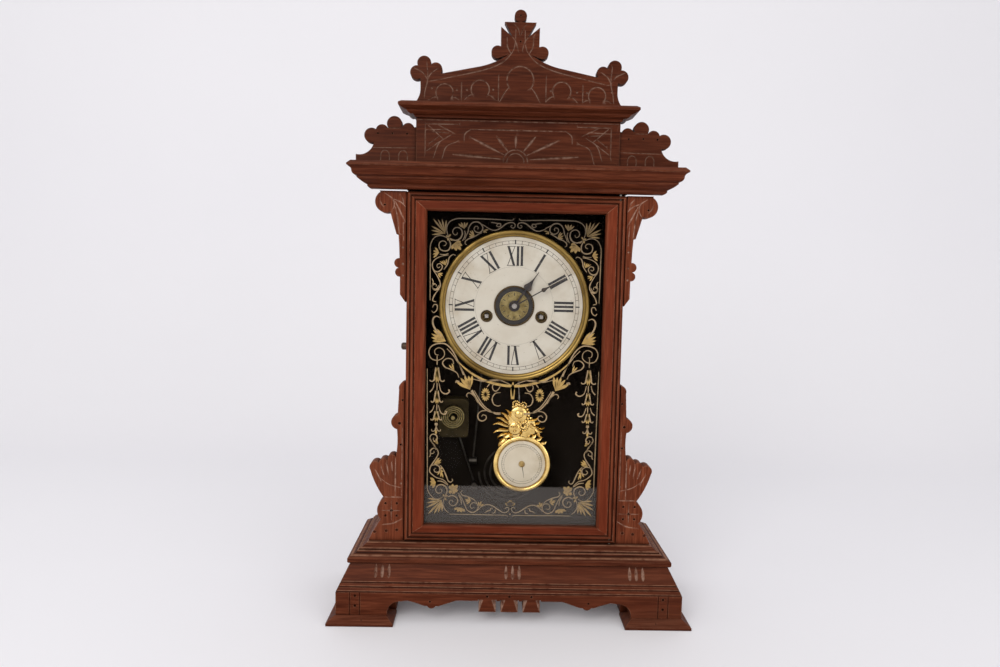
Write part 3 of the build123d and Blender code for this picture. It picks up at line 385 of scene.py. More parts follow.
class Slabs:
    """Thin flat shapes gathered into one mesh. Each shape is drawn in x and z, and faces the front."""

    def __init__(self, front, thickness):
        self.front, self.back = front, front + thickness
        self.points, self.faces = [], []

    def strip(self, left, right):
        """A band between two equally long rows of points."""
        start, count = len(self.points), len(left)
        for y in (self.front, self.back):
            for row in (left, right):
                self.points += [(x, y, z) for x, z in row]
        near_left, near_right, far_left, far_right = (start + k * count for k in range(4))
        for i in range(count - 1):
            self.faces.append((near_left + i, near_left + i + 1, near_right + i + 1, near_right + i))
            self.faces.append((far_left + i, far_right + i, far_right + i + 1, far_left + i + 1))
            self.faces.append((near_left + i, far_left + i, far_left + i + 1, near_left + i + 1))
            self.faces.append((near_right + i, near_right + i + 1, far_right + i + 1, far_right + i))
        last = count - 1
        self.faces.append((near_left, near_right, far_right, far_left))
        self.faces.append((near_left + last, far_left + last, far_right + last, near_right + last))

    def ribbon(self, path, widths):
        """A line with a width at its start, middle and end."""
        path = np.array(path, float)
        along = np.gradient(path, axis=0)
        along /= np.maximum(np.linalg.norm(along, axis=1), 1e-9)[:, None]
        across = np.stack([-along[:, 1], along[:, 0]], 1)
        t = np.linspace(0, 1, len(path))
        half = np.interp(t, np.linspace(0, 1, len(widths)), widths)[:, None] / 2
        self.strip((path + across * half).tolist(), (path - across * half).tolist())

    def ring(self, x, z, inner, outer, steps=96):
        start = len(self.points)
        for y in (self.front, self.back):
            for radius in (inner, outer):
                for k in range(steps):
                    a = 2 * math.pi * k / steps
                    self.points.append((x + radius * math.cos(a), y, z + radius * math.sin(a)))
        ni, no, fi, fo = (start + k * steps for k in range(4))
        for k in range(steps):
            j = (k + 1) % steps
            self.faces += [(ni + k, no + k, no + j, ni + j), (fi + k, fi + j, fo + j, fo + k),
                           (no + k, fo + k, fo + j, no + j), (ni + k, ni + j, fi + j, fi + k)]

    def disc(self, x, z, radius, steps=20):
        half = steps // 2
        rows = []
        for side in (1, -1):
            rows.append([(x + side * radius * math.sin(math.pi * k / half) if 0 < k < half
                          else x + side * 1e-4, z + radius * math.cos(math.pi * k / half))
                         for k in range(half + 1)])
        self.strip(*rows)

    def petal(self, x, z, length, width, angle, fat=0.6, steps=9):
        """A drop-shaped leaf from its tip at a point, widest at a share of its length."""
        rows = [[], []]
        for k in range(steps + 1):
            t = k / steps
            w = width / 2 * math.sin(math.pi * t ** (math.log(0.5) / math.log(fat))) + 0.02
            for row, side in zip(rows, (-1, 1)):
                s, r = side * w, t * length
                row.append((x + r * math.sin(angle) + s * math.cos(angle),
                            z + r * math.cos(angle) - s * math.sin(angle)))
        self.strip(*rows)

    def mirrored(self):
        """Add the mirror image of everything so far."""
        start = len(self.points)
        self.faces += [tuple(start + i for i in reversed(face)) for face in self.faces]
        self.points += [(-x, y, z) for x, y, z in self.points[:start]]

    def make(self, name, finish, body):
        return piece(name, self.points, self.faces, finish, body)


def smooth_path(points, step=1.0):
    """A curve through the points, with points about a step apart."""
    points = [np.array(p, float) for p in points]
    if len(points) == 2:
        count = max(2, int(np.linalg.norm(points[1] - points[0]) / step) + 1)
        return [tuple(points[0] + (points[1] - points[0]) * t) for t in np.linspace(0, 1, count)]
    ends = [2 * points[0] - points[1]] + points + [2 * points[-1] - points[-2]]
    out = []
    for a, b, c, d in zip(ends, ends[1:], ends[2:], ends[3:]):
        count = max(2, int(np.linalg.norm(c - b) / step) + 1)
        for t in np.linspace(0, 1, count, endpoint=False):
            out.append(tuple(0.5 * (2 * b + (c - a) * t + (2 * a - 5 * b + 4 * c - d) * t ** 2
                                    + (3 * b - a - 3 * c + d) * t ** 3)))
    out.append(tuple(points[-1]))
    return out


def arc_path(x, z, radius, start, end, step=1.0):
    """Points on an arc. Angles are in degrees, from the right, turning left."""
    count = max(4, int(abs(math.radians(end - start)) * radius / step) + 1)
    return [(x + radius * math.cos(a), z + radius * math.sin(a))
            for a in np.radians(np.linspace(start, end, count))]


def spiral_path(x, z, radius, start, turns, tight=0.12, steps=26):
    """Points on a scroll that winds in from its outer end."""
    out = []
    for k in range(steps + 1):
        t = k / steps
        a = math.radians(start) + 2 * math.pi * turns * t
        r = radius * (1 - t) ** 0.8 + radius * tight * t
        out.append((x + r * math.cos(a), z + r * math.sin(a)))
    return out


# Carved boards

def front_loops(name):
    """The closed outlines of a board's flat front, in millimetres."""
    mesh = nodes[name].data
    front = min(v.co.y for v in mesh.vertices)
    here = {}
    for face in mesh.polygons:
        corners = [mesh.vertices[i].co for i in face.vertices]
        if all(abs(c.y - front) < 1e-5 for c in corners):
            keys = [(round(c.x / MM, 3), round(c.z / MM, 3)) for c in corners]
            for a, b in zip(keys, keys[1:] + keys[:1]):
                if (b, a) in here:
                    del here[(b, a)]
                else:
                    here[(a, b)] = True
    follow = {a: b for a, b in here}
    loops = []
    while follow:
        start, place = next(iter(follow.items()))
        loop = [start]
        del follow[start]
        while place != start and place in follow:
            loop.append(place)
            place = follow.pop(place)
        if len(loop) > 2:
            loops.append(loop)
    return loops, front / MM


def rounder(loop):
    """Add the points that a coarse arc left out."""
    pts = np.array(loop)
    ahead = np.roll(pts, -1, 0) - pts
    length = np.linalg.norm(ahead, axis=1)
    heading = np.arctan2(ahead[:, 1], ahead[:, 0])
    turn = (heading - np.roll(heading, 1) + math.pi) % (2 * math.pi) - math.pi
    out = []
    for i in range(len(pts)):
        out.append(tuple(pts[i]))
        here, there = turn[i], turn[(i + 1) % len(pts)]
        sharp = math.radians(38)
        both = [t for t in (here, there) if abs(t) < sharp]
        if not both or (len(both) == 2 and here * there < 0):
            continue
        angle = min(both, key=abs)
        bulge = length[i] / 2 * math.tan(angle / 4)
        if 0.005 < abs(bulge) < 0.2:
            normal = np.array([ahead[i, 1], -ahead[i, 0]]) / length[i]
            out.append(tuple(pts[i] + ahead[i] / 2 + normal * bulge))
    return out


def inside(loops, points):
    """Which points lie inside the loops."""
    result = np.zeros(len(points), bool)
    x, z = points[:, 0], points[:, 1]
    for loop in loops:
        ring = np.array(loop)
        for (ax, az), (bx, bz) in zip(ring, np.roll(ring, -1, 0)):
            crosses = (az > z) != (bz > z)
            if crosses.any():
                cut = ax + (z - az) * (bx - ax) / (bz - az if bz != az else 1e-12)
                result ^= crosses & (x < cut)
    return result


def path_distance(points, path):
    """How far each point is from a path, and how far along the path it is, from 0 to 1."""
    path = np.array(path, float)
    best = np.full(len(points), 1e9)
    along = np.zeros(len(points))
    lengths = np.concatenate([[0], np.cumsum(np.linalg.norm(np.diff(path, axis=0), axis=1))])
    for k in range(len(path) - 1):
        a, d = path[k], path[k + 1] - path[k]
        t = np.clip(((points - a) @ d) / max(d @ d, 1e-12), 0, 1)
        away = np.linalg.norm(points - a - t[:, None] * d, axis=1)
        closer = away < best
        best[closer] = away[closer]
        along[closer] = (lengths[k] + t[closer] * (lengths[k + 1] - lengths[k])) / lengths[-1]
    return best, along


def carve(name, source, finish, cuts, dots, side=1, worn_edge=0.7):
    """A fretted board with cut lines and punched dots, built over its plain solid.

    A cut is a path, its widths and its depth. A dot is a place, a radius and a depth.
    """
    loops, front = front_loops(source)
    back = max(v.co.y for v in nodes[source].data.vertices) / MM
    loops = [rounder(rounder(loop)) for loop in loops]
    cuts = [([(side * x, z) for x, z in path], widths, depth) for path, widths, depth in cuts]
    dots = [(side * x, z, radius, depth) for x, z, radius, depth in dots]
    points, edges = [], []

    def add_line(line, closed=False, joined=True):
        start = len(points)
        points.extend(line)
        if joined:
            edges.extend((start + k, start + k + 1) for k in range(len(line) - 1))
            if closed:
                edges.append((start + len(line) - 1, start))

    for loop in loops:
        add_line(loop, closed=True)
    fixed = len(points)
    for path, widths, depth in cuts:
        line = np.array(path, float)
        along = np.gradient(line, axis=0)
        along /= np.maximum(np.linalg.norm(along, axis=1), 1e-9)[:, None]
        across = np.stack([-along[:, 1], along[:, 0]], 1)
        half = np.interp(np.linspace(0, 1, len(line)), np.linspace(0, 1, len(widths)), widths)[:, None] / 2
        for share in (-1, -0.5, 0, 0.5, 1):
            add_line((line + across * half * share).tolist(), joined=share in (-1, 0, 1))
    for x, z, radius, depth in dots:
        for share in (1.0, 0.7):
            add_line([(x + share * radius * math.cos(a), z + share * radius * math.sin(a))
                      for a in np.linspace(0, 2 * math.pi, 14, endpoint=False)], closed=True)
        add_line([(x, z)], joined=False)
    for loop in loops:
        ring = np.array(loop)
        ahead = np.roll(ring, -1, 0) - ring
        ahead /= np.linalg.norm(ahead, axis=1)[:, None]
        normal = ahead + np.roll(ahead, 1, 0)
        normal /= np.maximum(np.linalg.norm(normal, axis=1), 1e-6)[:, None]
        inward = np.stack([-normal[:, 1], normal[:, 0]], 1)
        for share in (0.3, 1.0):
            for sign in (1, -1):
                add_line((ring + sign * inward * worn_edge * share).tolist(), joined=False)
    low, high = np.array(points[:fixed]).min(0), np.array(points[:fixed]).max(0)
    for x in np.arange(low[0], high[0], 4.0):
        add_line([(x + 0.37, z + 0.21) for z in np.arange(low[1], high[1], 4.0)], joined=False)
    cloud = np.array(points)
    outline = [np.array(loop + loop[:1]) for loop in loops]
    border = np.min([path_distance(cloud, loop)[0] for loop in outline], axis=0)
    kept = inside(loops, cloud) & (border > 0.12)
    kept[:fixed] = True
    new_index = np.cumsum(kept) - 1
    edges = [(int(new_index[a]), int(new_index[b])) for a, b in edges if kept[a] and kept[b]]
    cloud = cloud[kept]
    verts, _, faces, *_ = delaunay_2d_cdt([Vector(p) for p in cloud.tolist()], edges, [], 0, 1e-4, False)
    flat = np.array([tuple(v) for v in verts])
    faces = [tuple(f) for f in faces]
    middles = np.array([flat[list(f)].mean(0) for f in faces])
    faces = [f for f, ok in zip(faces, inside(loops, middles)) if ok]

    border = np.min([path_distance(flat, loop)[0] for loop in outline], axis=0)
    drop = np.where(border < worn_edge,
                    worn_edge - np.sqrt(np.maximum(worn_edge ** 2 - (worn_edge - border) ** 2, 0)), 0) * 0.8
    cut_share = np.zeros(len(flat))
    for path, widths, depth in cuts:
        away, along = path_distance(flat, path)
        half = np.interp(along, np.linspace(0, 1, len(widths)), widths) / 2
        share = np.clip(1 - (away / half) ** 2, 0, 1)
        drop = np.maximum(drop, depth * share * np.clip(half / (max(widths) / 2), 0.3, 1))
        cut_share = np.maximum(cut_share, share)
    for x, z, radius, depth in dots:
        away = np.hypot(flat[:, 0] - x, flat[:, 1] - z) / radius
        share = np.clip((1 - away) / 0.3, 0, 1)
        drop = np.maximum(drop, depth * share)
        if depth < 1.0:
            cut_share = np.maximum(cut_share, np.clip((1.0 - away) / 0.3, 0, 1))

    around = {}
    for f in faces:
        for a, b in zip(f, f[1:] + f[:1]):
            if (b, a) in around:
                del around[(b, a)]
            else:
                around[(a, b)] = True
    rim = sorted({i for edge in around for i in edge})
    rim_index = {i: k for k, i in enumerate(rim)}
    rim_edges = [(rim_index[a], rim_index[b]) for a, b in around]
    rim_points = [Vector(flat[i].tolist()) for i in rim]
    back_verts, _, back_faces, *_ = delaunay_2d_cdt(rim_points, rim_edges, [], 0, 1e-5, False)
    back_flat = np.array([tuple(v) for v in back_verts])
    middles = np.array([back_flat[list(f)].mean(0) for f in back_faces])
    back_faces = [tuple(f) for f, ok in zip(back_faces, inside(loops, middles)) if ok]
    count = len(flat)
    all_points = [(x, front + d, z) for (x, z), d in zip(flat.tolist(), drop.tolist())]
    all_points += [(flat[i][0], back, flat[i][1]) for i in rim]
    base = len(all_points)
    all_points += [(x, back, z) for x, z in back_flat.tolist()]
    walls = [(b, a, count + rim_index[a], count + rim_index[b]) for a, b in around]
    all_faces = faces + walls + [tuple(base + i for i in f) for f in back_faces]
    made = piece(name, all_points, all_faces, finish, "case", (source,), 30.0)
    mesh = made.data
    attribute = mesh.attributes.new("cut", "FLOAT", "POINT")
    lookup = {(round(p[0], 2), round(p[1], 2)): s for p, s in zip(flat.tolist(), cut_share.tolist())}
    values = [lookup.get((round(v.co.x / MM, 2), round(v.co.z / MM, 2)), 0.0)
              if v.co.y / MM < back - 0.5 else 0.0 for v in mesh.vertices]
    attribute.data.foreach_set("value", values)
    return made


def both_sides(cuts):
    return cuts + [([(-x, z) for x, z in path], widths, depth) for path, widths, depth in cuts]


def line(*points, width=1.5, depth=0.6):
    return (smooth_path(points, 1.4), (width * 0.55, width, width * 0.55), depth)


def flute(x0, z0, x1, z1, width=2.8, depth=0.9):
    """A cut that is broad at its outer end and runs out to nothing."""
    return (smooth_path([(x0, z0), (x1, z1)], 1.4), (width * 0.4, width, width * 0.7, width * 0.25), depth)


def arc_cut(x, z, radius, start, end, width=1.5, depth=0.6):
    return (arc_path(x, z, radius, start, end, 1.3), (width,), depth)


def horseshoe(x, z, radius, foot, bottom):
    """A round arch on two spread feet."""
    arch_end = 213
    end_x = abs(radius * math.cos(math.radians(arch_end)))
    end_z = z + radius * math.sin(math.radians(arch_end))
    cuts = [arc_cut(x, z, radius, 180 - arch_end, arch_end)]
    for side in (-1, 1):
        bend = (x + side * (foot + end_x) / 2, (end_z + bottom) / 2 + 1.2)
        cuts.append(line((x + side * end_x, end_z), bend, (x + side * foot, bottom)))
    return cuts


def build_crest():
    arches = horseshoe(0.8, 541.8, 13.3, 20, 520.5)
    # The carver set the small arches and the upright cuts a little to the right of true.
    for x, z, radius, foot, bottom in ((41.9, 531.8, 9.1, 15.6, 521.4), (77.4, 528.0, 8.6, 14.4, 521.2)):
        arches += horseshoe(x + 0.6, z, radius, foot, bottom) + horseshoe(2.9 - x, z, radius, foot, bottom)
    for x, top in ((23.7, 545), (60.6, 537.7)):
        arches += [line((x + 3, top), (x + 3, 521)), line((2.9 - x, top), (2.9 - x, 521))]
    sides = [line((88, 538.8), (69, 543), (36, 550.8), (18.7, 557.8), (9.4, 566.5), (5.4, 575), (4.6, 590)),
              line((92.4, 556), (91.4, 541), (93.8, 530), (94.8, 521.5)),
              line((104.8, 551), (96.5, 547), (91.6, 540)), line((82.4, 550.6), (88.4, 546), (91.6, 540)),
              line((2.2, 570.5), (4.2, 578), (7.6, 583)), line((9.5, 568), (12.6, 574), (13.2, 583)),
              line((0.8, 586), (2.6, 592), (6.0, 595.6), width=0.9)]
    dots = [(0, 604.3, 0.8, 2.2), (0.4, 579.2, 0.9, 2.5)]
    for x, z in ((65.2, 530.8), (55.2, 531.2), (29, 532), (90.2, 532)):
        dots += [(x + 2.6, z, 1.1, 0.7), (2.9 - x, z, 1.1, 0.7)]
    carve("crest_carved", "crest_board", wood_carved, arches + both_sides(sides), dots)


def build_frieze():
    sun_x = -2.4
    ray_ends = ((62.7, 467.2, 15, 463.6), (43.4, 483.2, 11.5, 467.8), (19.2, 485.6, 7, 470.4))
    rays = [flute(sun_x + side * x0, z0, sun_x + side * x1, z1, 3.4, 1.0) for side in (-1, 1)
            for x0, z0, x1, z1 in ray_ends]
    sides = [line((54.2, 480.5), (53.4, 487.4), (47.6, 492)),
             line((61.5, 479.6), (71.8, 474.5), (76.5, 461.0)),
             line((68.3, 485.6), (79.2, 477.9), (84.6, 463.4)), line((93, 497), (93, 467)),
             line((92.4, 496.4), (59.7, 496.6)), line((91.4, 490.6), (70.4, 491.6)),
             line((90, 495), (75, 482)), line((79.6, 495.5), (65.8, 488.6)), line((77, 480.6), (91.4, 470)),
             line((86, 489), (70.6, 488), width=0.9), line((88, 478), (80, 484), width=0.9)]
    middle = [line((-47.6, 492), (47.6, 492)), flute(sun_x, 486.4, sun_x, 475.5, 3.6, 1.0),
              arc_cut(sun_x, 460.8, 12.2, 4, 176), arc_cut(sun_x, 460.8, 8.6, 6, 174),
              line((-100.4, 500.4), (100.4, 500.4), width=1.4, depth=0.7)]
    carve("frieze_carved", "frieze_front", wood_carved, middle + rays + both_sides(sides), [])


def small_arch(x):
    return [(smooth_path([(x - 4.4, 461.2), (x - 4.2, 466.4), (x - 2.6, 469.4), (x, 470.4), (x + 2.6, 469.4),
                          (x + 4.2, 466.4), (x + 4.4, 461.2)], 1.2), (1.0,), 0.5)]


def build_wings():
    cuts = small_arch(133.4) + small_arch(115.4)
    cuts += [line((103.6, 473.2), (145.2, 472.6), width=1.0, depth=0.4),
             line((118.5, 492.2), (129.6, 492.2), width=0.8)]
    dots = [(140.6, 486.8, 0.9, 3.0), (126.1, 487.2, 0.9, 3.0), (111.5, 486.8, 0.9, 3.0)]
    for side, word in ((-1, "left"), (1, "right")):
        carve("wing_carved_" + word, "crest_wing_" + word, wood_carved, cuts, dots, side)


def build_brackets():
    upper = [line((129.9, 425.4), (123.4, 420.6), (122.0, 414.2), (124.6, 408.4)),
             line((136.2, 419.4), (134.6, 415.4), (132.4, 413.0), width=0.9),
             line((121.6, 420.4), (115, 417.4), (110.8, 413.2)), line((120.9, 418), (116, 409), (111, 398.6)),
             line((119.6, 415), (115.8, 407), (112.6, 401), width=0.9),
             line((116.6, 424.6), (113.6, 421), (112.6, 416)),
             line((120.9, 412.6), (118.6, 402), (117.0, 387)),
             line((113, 398), (112.4, 380), width=0.9, depth=0.35)]
    upper_dots = [(131.4, 415, 1.1, 3.0), (112.9, 373, 1.1, 0.9), (112.9, 356.7, 1.2, 0.9),
                  (112.9, 345, 1.1, 0.9)]
    lower = [line((118.6, 158.6), (118.6, 118.6)), line((129.4, 118.2), (111.6, 118.2)),
             line((122.6, 154.6), (121.8, 146.4)), line((127.4, 152.2), (126, 144.4)),
             line((133.2, 149.6), (130.4, 141.4)), line((138.6, 145.6), (133.8, 136.2)),
             line((122.4, 112.6), (122.4, 95.4), width=1.0), line((131.8, 104), (113.2, 104), width=1.0),
             line((130.4, 89.2), (120.4, 90.8), (111.2, 95.6)),
             line((112, 190), (112, 120), width=0.9, depth=0.35),
             line((134, 138), (124.8, 131.4), (112, 128), width=0.8, depth=0.3)]
    lower_dots = [(111.8, 219, 1.1, 3.0), (114.8, 195, 1.5, 3.0), (113.4, 173, 1.2, 3.0),
                  (112.6, 132.6, 1.1, 0.8), (122.4, 104, 1.5, 3.0), (128.4, 111.6, 1.3, 2.2),
                  (116.8, 111.6, 1.3, 2.2), (128.4, 98.6, 1.3, 2.2), (116.8, 98.6, 1.3, 2.2),
                  (139.4, 81.4, 1.6, 1.6), (127.4, 82.6, 1.6, 1.6), (116.6, 83.6, 1.6, 1.6)]
    for side, word in ((-1, "left"), (1, "right")):
        carve("upper_bracket_carved_" + word, "upper_bracket_" + word, wood_bracket, upper, upper_dots, side)
        carve("lower_bracket_carved_" + word, "lower_bracket_" + word, wood_bracket, lower, lower_dots, side)


# Cuts in the base

cut_mark = bpy.data.materials.new("cut_mark")


def hull_cutter(shape, points, pale=True):
    made = [shape.verts.new((x * MM, y * MM, z * MM)) for x, y, z in points]
    bmesh.ops.convex_hull(shape, input=made)
    if not pale:
        for face in {face for vert in made if vert.is_valid for face in vert.link_faces}:
            face.material_index = 1


def ball_cutter(shape, x, y, z, size_x, size_y, size_z, tilt=0.0, flare=0.0, pale=False):
    """An egg-shaped cutter. The tilt leans it back with the slope, and the flare widens its foot."""
    points = []
    for i in range(1, 10):
        lift = math.pi * i / 10
        for k in range(12):
            a = 2 * math.pi * k / 12
            up = math.cos(lift)
            broad = math.sin(lift) * (1 - flare * up)
            px, py, pz = size_x * broad * math.cos(a), size_y * broad * math.sin(a), size_z * up
            points.append((x + px, y + py * math.cos(tilt) + pz * math.sin(tilt),
                           z + pz * math.cos(tilt) - py * math.sin(tilt)))
    for up in (1, -1):
        points.append((x, y + up * size_z * math.sin(tilt), z + up * size_z * math.cos(tilt)))
    hull_cutter(shape, points, pale)


def cut_solid(name, source, finish, cutters):
    """A copy of a solid with the cutters taken out of it. The pale cuts get the "cut" attribute."""
    shape = bmesh.new()
    shape.from_mesh(nodes[source].data)
    bmesh.ops.remove_doubles(shape, verts=shape.verts, dist=1e-6)
    bmesh.ops.dissolve_limit(shape, angle_limit=math.radians(0.5), verts=shape.verts, edges=shape.edges)
    mesh = bpy.data.meshes.new(name)
    shape.to_mesh(mesh)
    shape.free()
    block = bpy.data.objects.new(name, mesh)
    tool_mesh = bpy.data.meshes.new(name + "_tool")
    cutters.to_mesh(tool_mesh)
    cutters.free()
    mesh.materials.append(finish)
    tool_mesh.materials.append(cut_mark)
    tool_mesh.materials.append(finish)
    tool = bpy.data.objects.new(name + "_tool", tool_mesh)
    for made in (block, tool):
        bpy.context.scene.collection.objects.link(made)
    cut = block.modifiers.new("cut", "BOOLEAN")
    cut.operation, cut.solver, cut.object, cut.use_self = "DIFFERENCE", "EXACT", tool, True
    cut.material_mode = "TRANSFER"
    view = bpy.context.evaluated_depsgraph_get()
    result = bpy.data.meshes.new_from_object(block.evaluated_get(view))
    bpy.data.objects.remove(block)
    bpy.data.objects.remove(tool)
    result.name = name
    fresh = [result.materials[face.material_index] == cut_mark for face in result.polygons]
    result.attributes.new("cut", "FLOAT", "FACE").data.foreach_set("value", [float(new) for new in fresh])
    result.polygons.foreach_set("material_index", [0] * len(fresh))
    result.materials.clear()
    result.materials.append(finish)
    result.shade_flat()
    shape = bmesh.new()
    shape.from_mesh(result)
    bmesh.ops.triangulate(shape, faces=shape.faces, quad_method="BEAUTY", ngon_method="BEAUTY")
    shape.to_mesh(result)
    shape.free()
    made = bpy.data.objects.new(name, result)
    bpy.context.scene.collection.objects.link(made)
    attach(made, "case")
    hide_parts(source)
    return made


def build_skirt():
    cutters = bmesh.new()
    front = SKIRT_FRONT
    flute_z = 49.6
    flute_y = front + (flute_z - SKIRT_BLOCK_TOP) * math.tan(SKIRT_SLOPE)
    for middle in (-127.7, 2.9, 127.7):
        for x in (middle - 6.6, middle, middle + 6.6):
            ball_cutter(cutters, x, flute_y, flute_z, 1.5, 1.4, 6.6, SKIRT_SLOPE, 0.3, True)
    for side in (-1, 1):
        for x in (148.8, 158.6):
            hull_cutter(cutters, [(side * x + dx, front + dy, z) for z in (7.0, 31.0)
                                  for dx, dy in ((-0.9, -0.3), (0.9, -0.3), (0, 0.9))], False)
        for z in (17.4, 27.6):
            ball_cutter(cutters, side * 153.4, front, z, 1.4, 2.2, 1.4)
        ball_cutter(cutters, side * 79, front, 22.5, 1.1, 2.0, 1.1)
        ball_cutter(cutters, side * 173.4, front, 19, 1.0, 1.2, 1.0)
    for x in (-22, 0, 22):
        ball_cutter(cutters, x, front, 28.6, 1.2, 2.2, 1.2)
        for side in (-1, 1):
            hull_cutter(cutters, [(x + side * 4.2, front - 0.1, 25.2), (x + side * 7.9, front - 0.1, 13.6),
                                  (x + side * 9.4, front - 0.1, 25.2), (x + side * 9.4, front - 0.1, 12.6),
                                  (x + side * 9.4, front + 6.0, 25.2), (x + side * 9.4, front + 1.2, 12.6)])
    cut_solid("skirt_front_cut", "skirt_front", wood_skirt, cutters)


def build_pads():
    cutters = bmesh.new()
    for side in (-1, 1):
        ball_cutter(cutters, side * 146, -60.6, 5.0, 0.9, 1.6, 0.9)
    cut_solid("foot_pads_punched", "foot_pads_front", wood_across, cutters)


# Rings of ticks, made with geometry nodes

def tick_tree():
    tree = bpy.data.node_groups.new("tick_ring", "GeometryNodeTree")
    face = tree.interface
    for label, kind in (("Count", "NodeSocketInt"), ("Radius", "NodeSocketFloat"),
                        ("Tick", "NodeSocketVector"), ("Finish", "NodeSocketMaterial")):
        face.new_socket(name=label, in_out="INPUT", socket_type=kind)
    face.new_socket(name="Geometry", in_out="OUTPUT", socket_type="NodeSocketGeometry")
    given = tree.nodes.new("NodeGroupInput").outputs
    circle = node(tree, "GeometryNodeMeshCircle", {"Vertices": given["Count"], "Radius": given["Radius"]})
    bar = node(tree, "GeometryNodeMeshCube", {"Size": given["Tick"]})
    index = node(tree, "GeometryNodeInputIndex").outputs[0]
    share = node(tree, "ShaderNodeMath", {0: index, 1: given["Count"]}, operation="DIVIDE").outputs[0]
    angle = node(tree, "ShaderNodeMath", {0: share, 1: 2 * math.pi}, operation="MULTIPLY").outputs[0]
    turn = node(tree, "ShaderNodeCombineXYZ", {"Z": angle}).outputs[0]
    placed = node(tree, "GeometryNodeInstanceOnPoints",
                  {"Points": circle.outputs[0], "Instance": bar.outputs[0], "Rotation": turn})
    real = node(tree, "GeometryNodeRealizeInstances", {0: placed.outputs[0]})
    painted = node(tree, "GeometryNodeSetMaterial",
                   {"Geometry": real.outputs[0], "Material": given["Finish"]})
    tree.links.new(painted.outputs[0], tree.nodes.new("NodeGroupOutput").inputs[0])
    return tree


def tick_ring(name, tree, count, radius, tick, finish, body, centre):
    """A ring of ticks that faces the front, about a centre in millimetres."""
    holder = bpy.data.objects.new(name + "_holder", bpy.data.meshes.new(name + "_holder"))
    bpy.context.scene.collection.objects.link(holder)
    maker = holder.modifiers.new("ticks", "NODES")
    maker.node_group = tree
    values = {"Count": count, "Radius": radius * MM, "Tick": [t * MM for t in tick], "Finish": finish}
    for item in tree.interface.items_tree:
        if item.in_out == "INPUT":
            maker[item.identifier] = values[item.name]
    view = bpy.context.evaluated_depsgraph_get()
    mesh = bpy.data.meshes.new_from_object(holder.evaluated_get(view))
    bpy.data.objects.remove(holder)
    mesh.name = name
    stand = Matrix.Translation([c * MM for c in centre]) @ Matrix.Rotation(math.pi / 2, 4, "X")
    mesh.transform(stand)
    made = bpy.data.objects.new(name, mesh)
    bpy.context.scene.collection.objects.link(made)
    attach(made, body)
    return made


# Dial

def numeral_strokes(text):
    """Strokes as start and end in offset and height share, with a width. The height runs from 0 to 1."""
    thick, thin = 2.5, 0.7
    advance = {"I": 4.1, "V": 9.6, "X": 9.6}
    width = sum(advance[letter] for letter in text)
    at, strokes = -width / 2, []
    for letter in text:
        left, right = at + 0.6, at + advance[letter] - 0.6
        middle = (left + right) / 2
        if letter == "I":
            strokes.append((middle, 0, middle, 1, thick))
        elif letter == "V":
            strokes += [(left + 1.2, 1, middle + 0.3, 0, thick), (right - 0.4, 1, middle + 0.3, 0, thin)]
        else:
            strokes += [(left + 1.2, 1, right - 1.2, 0, thick), (right - 0.6, 1, left + 0.6, 0, thin)]
        strokes += [(left - 0.2, 1, right + 0.2, 1, 0), (left - 0.2, 0, right + 0.2, 0, 0)]
        at += advance[letter]
    return strokes


def build_dial(ticks):
    low, high = 41.6, 61.2
    print_front = DIAL_FRONT - 0.06
    print_ = Slabs(print_front, 0.08)
    for hour, text in enumerate(("XII", "I", "II", "III", "IIII", "V", "VI", "VII", "VIII", "IX", "X", "XI")):
        a = math.radians(30 * hour)

        def place(s, r):
            return s * math.cos(a) + r * math.sin(a), DIAL_Z + r * math.cos(a) - s * math.sin(a)

        for s0, t0, s1, t1, width in numeral_strokes(text):
            r0, r1 = low + t0 * (high - low), low + t1 * (high - low)
            if width:
                print_.strip([place(s0 - width / 2, r0), place(s1 - width / 2, r1)],
                             [place(s0 + width / 2, r0), place(s1 + width / 2, r1)])
            else:
                print_.strip([place(s0, r0 - 0.28), place(s1, r1 - 0.28)],
                             [place(s0, r0 + 0.28), place(s1, r1 + 0.28)])
    for inner, outer in ((63.6, 63.95), (66.9, 67.25)):
        print_.ring(0, DIAL_Z, inner, outer, 144)
    print_.make("dial_numerals", ink, "case")
    crease = Slabs(print_front + 0.02, 0.05)
    crease.ring(0, DIAL_Z, 40.3, 40.6, 144)
    crease.make("dial_crease", worn_line, "case")
    centre = (0, print_front + 0.03, DIAL_Z)
    tick_ring("minute_marks", ticks, 60, 65.4, (3.3, 0.42, 0.08), ink, "case", centre)
    tick_ring("hour_marks", ticks, 12, 65.6, (4.4, 1.25, 0.1), ink, "case", centre)
    rims = Slabs(DIAL_FRONT - 0.9, 1.0)
    rims.ring(0, DIAL_Z, 19.4, 21.0)
    rims.make("centre_rim", old_bronze, "case")
    grommets = Slabs(DIAL_FRONT - 0.5, 0.6)
    for side in (-1, 1):
        grommets.ring(side * WINDING_X, WINDING_Z, 4.4, 6.3, 40)
    grommets.make("winding_grommets", old_bronze, "case")
    # Painted shade: a black disc just behind the dial's centre opening stands for the shade there.
    shade_disc = Slabs(DIAL_FRONT + 0.8, 0.6)
    shade_disc.ring(0, DIAL_Z, 3.8, 21.0)
    shade_disc.make("centre_shade_disc", iron, "case")
    marks_at = (0, -6.75, DIAL_Z)
    tick_ring("alarm_marks", ticks, 12, 11.8, (2.4, 0.7, 0.1), ink, "alarm_setting", marks_at)
    tick_ring("alarm_small_marks", ticks, 48, 13.6, (1.2, 0.25, 0.1), ink, "alarm_setting", marks_at)


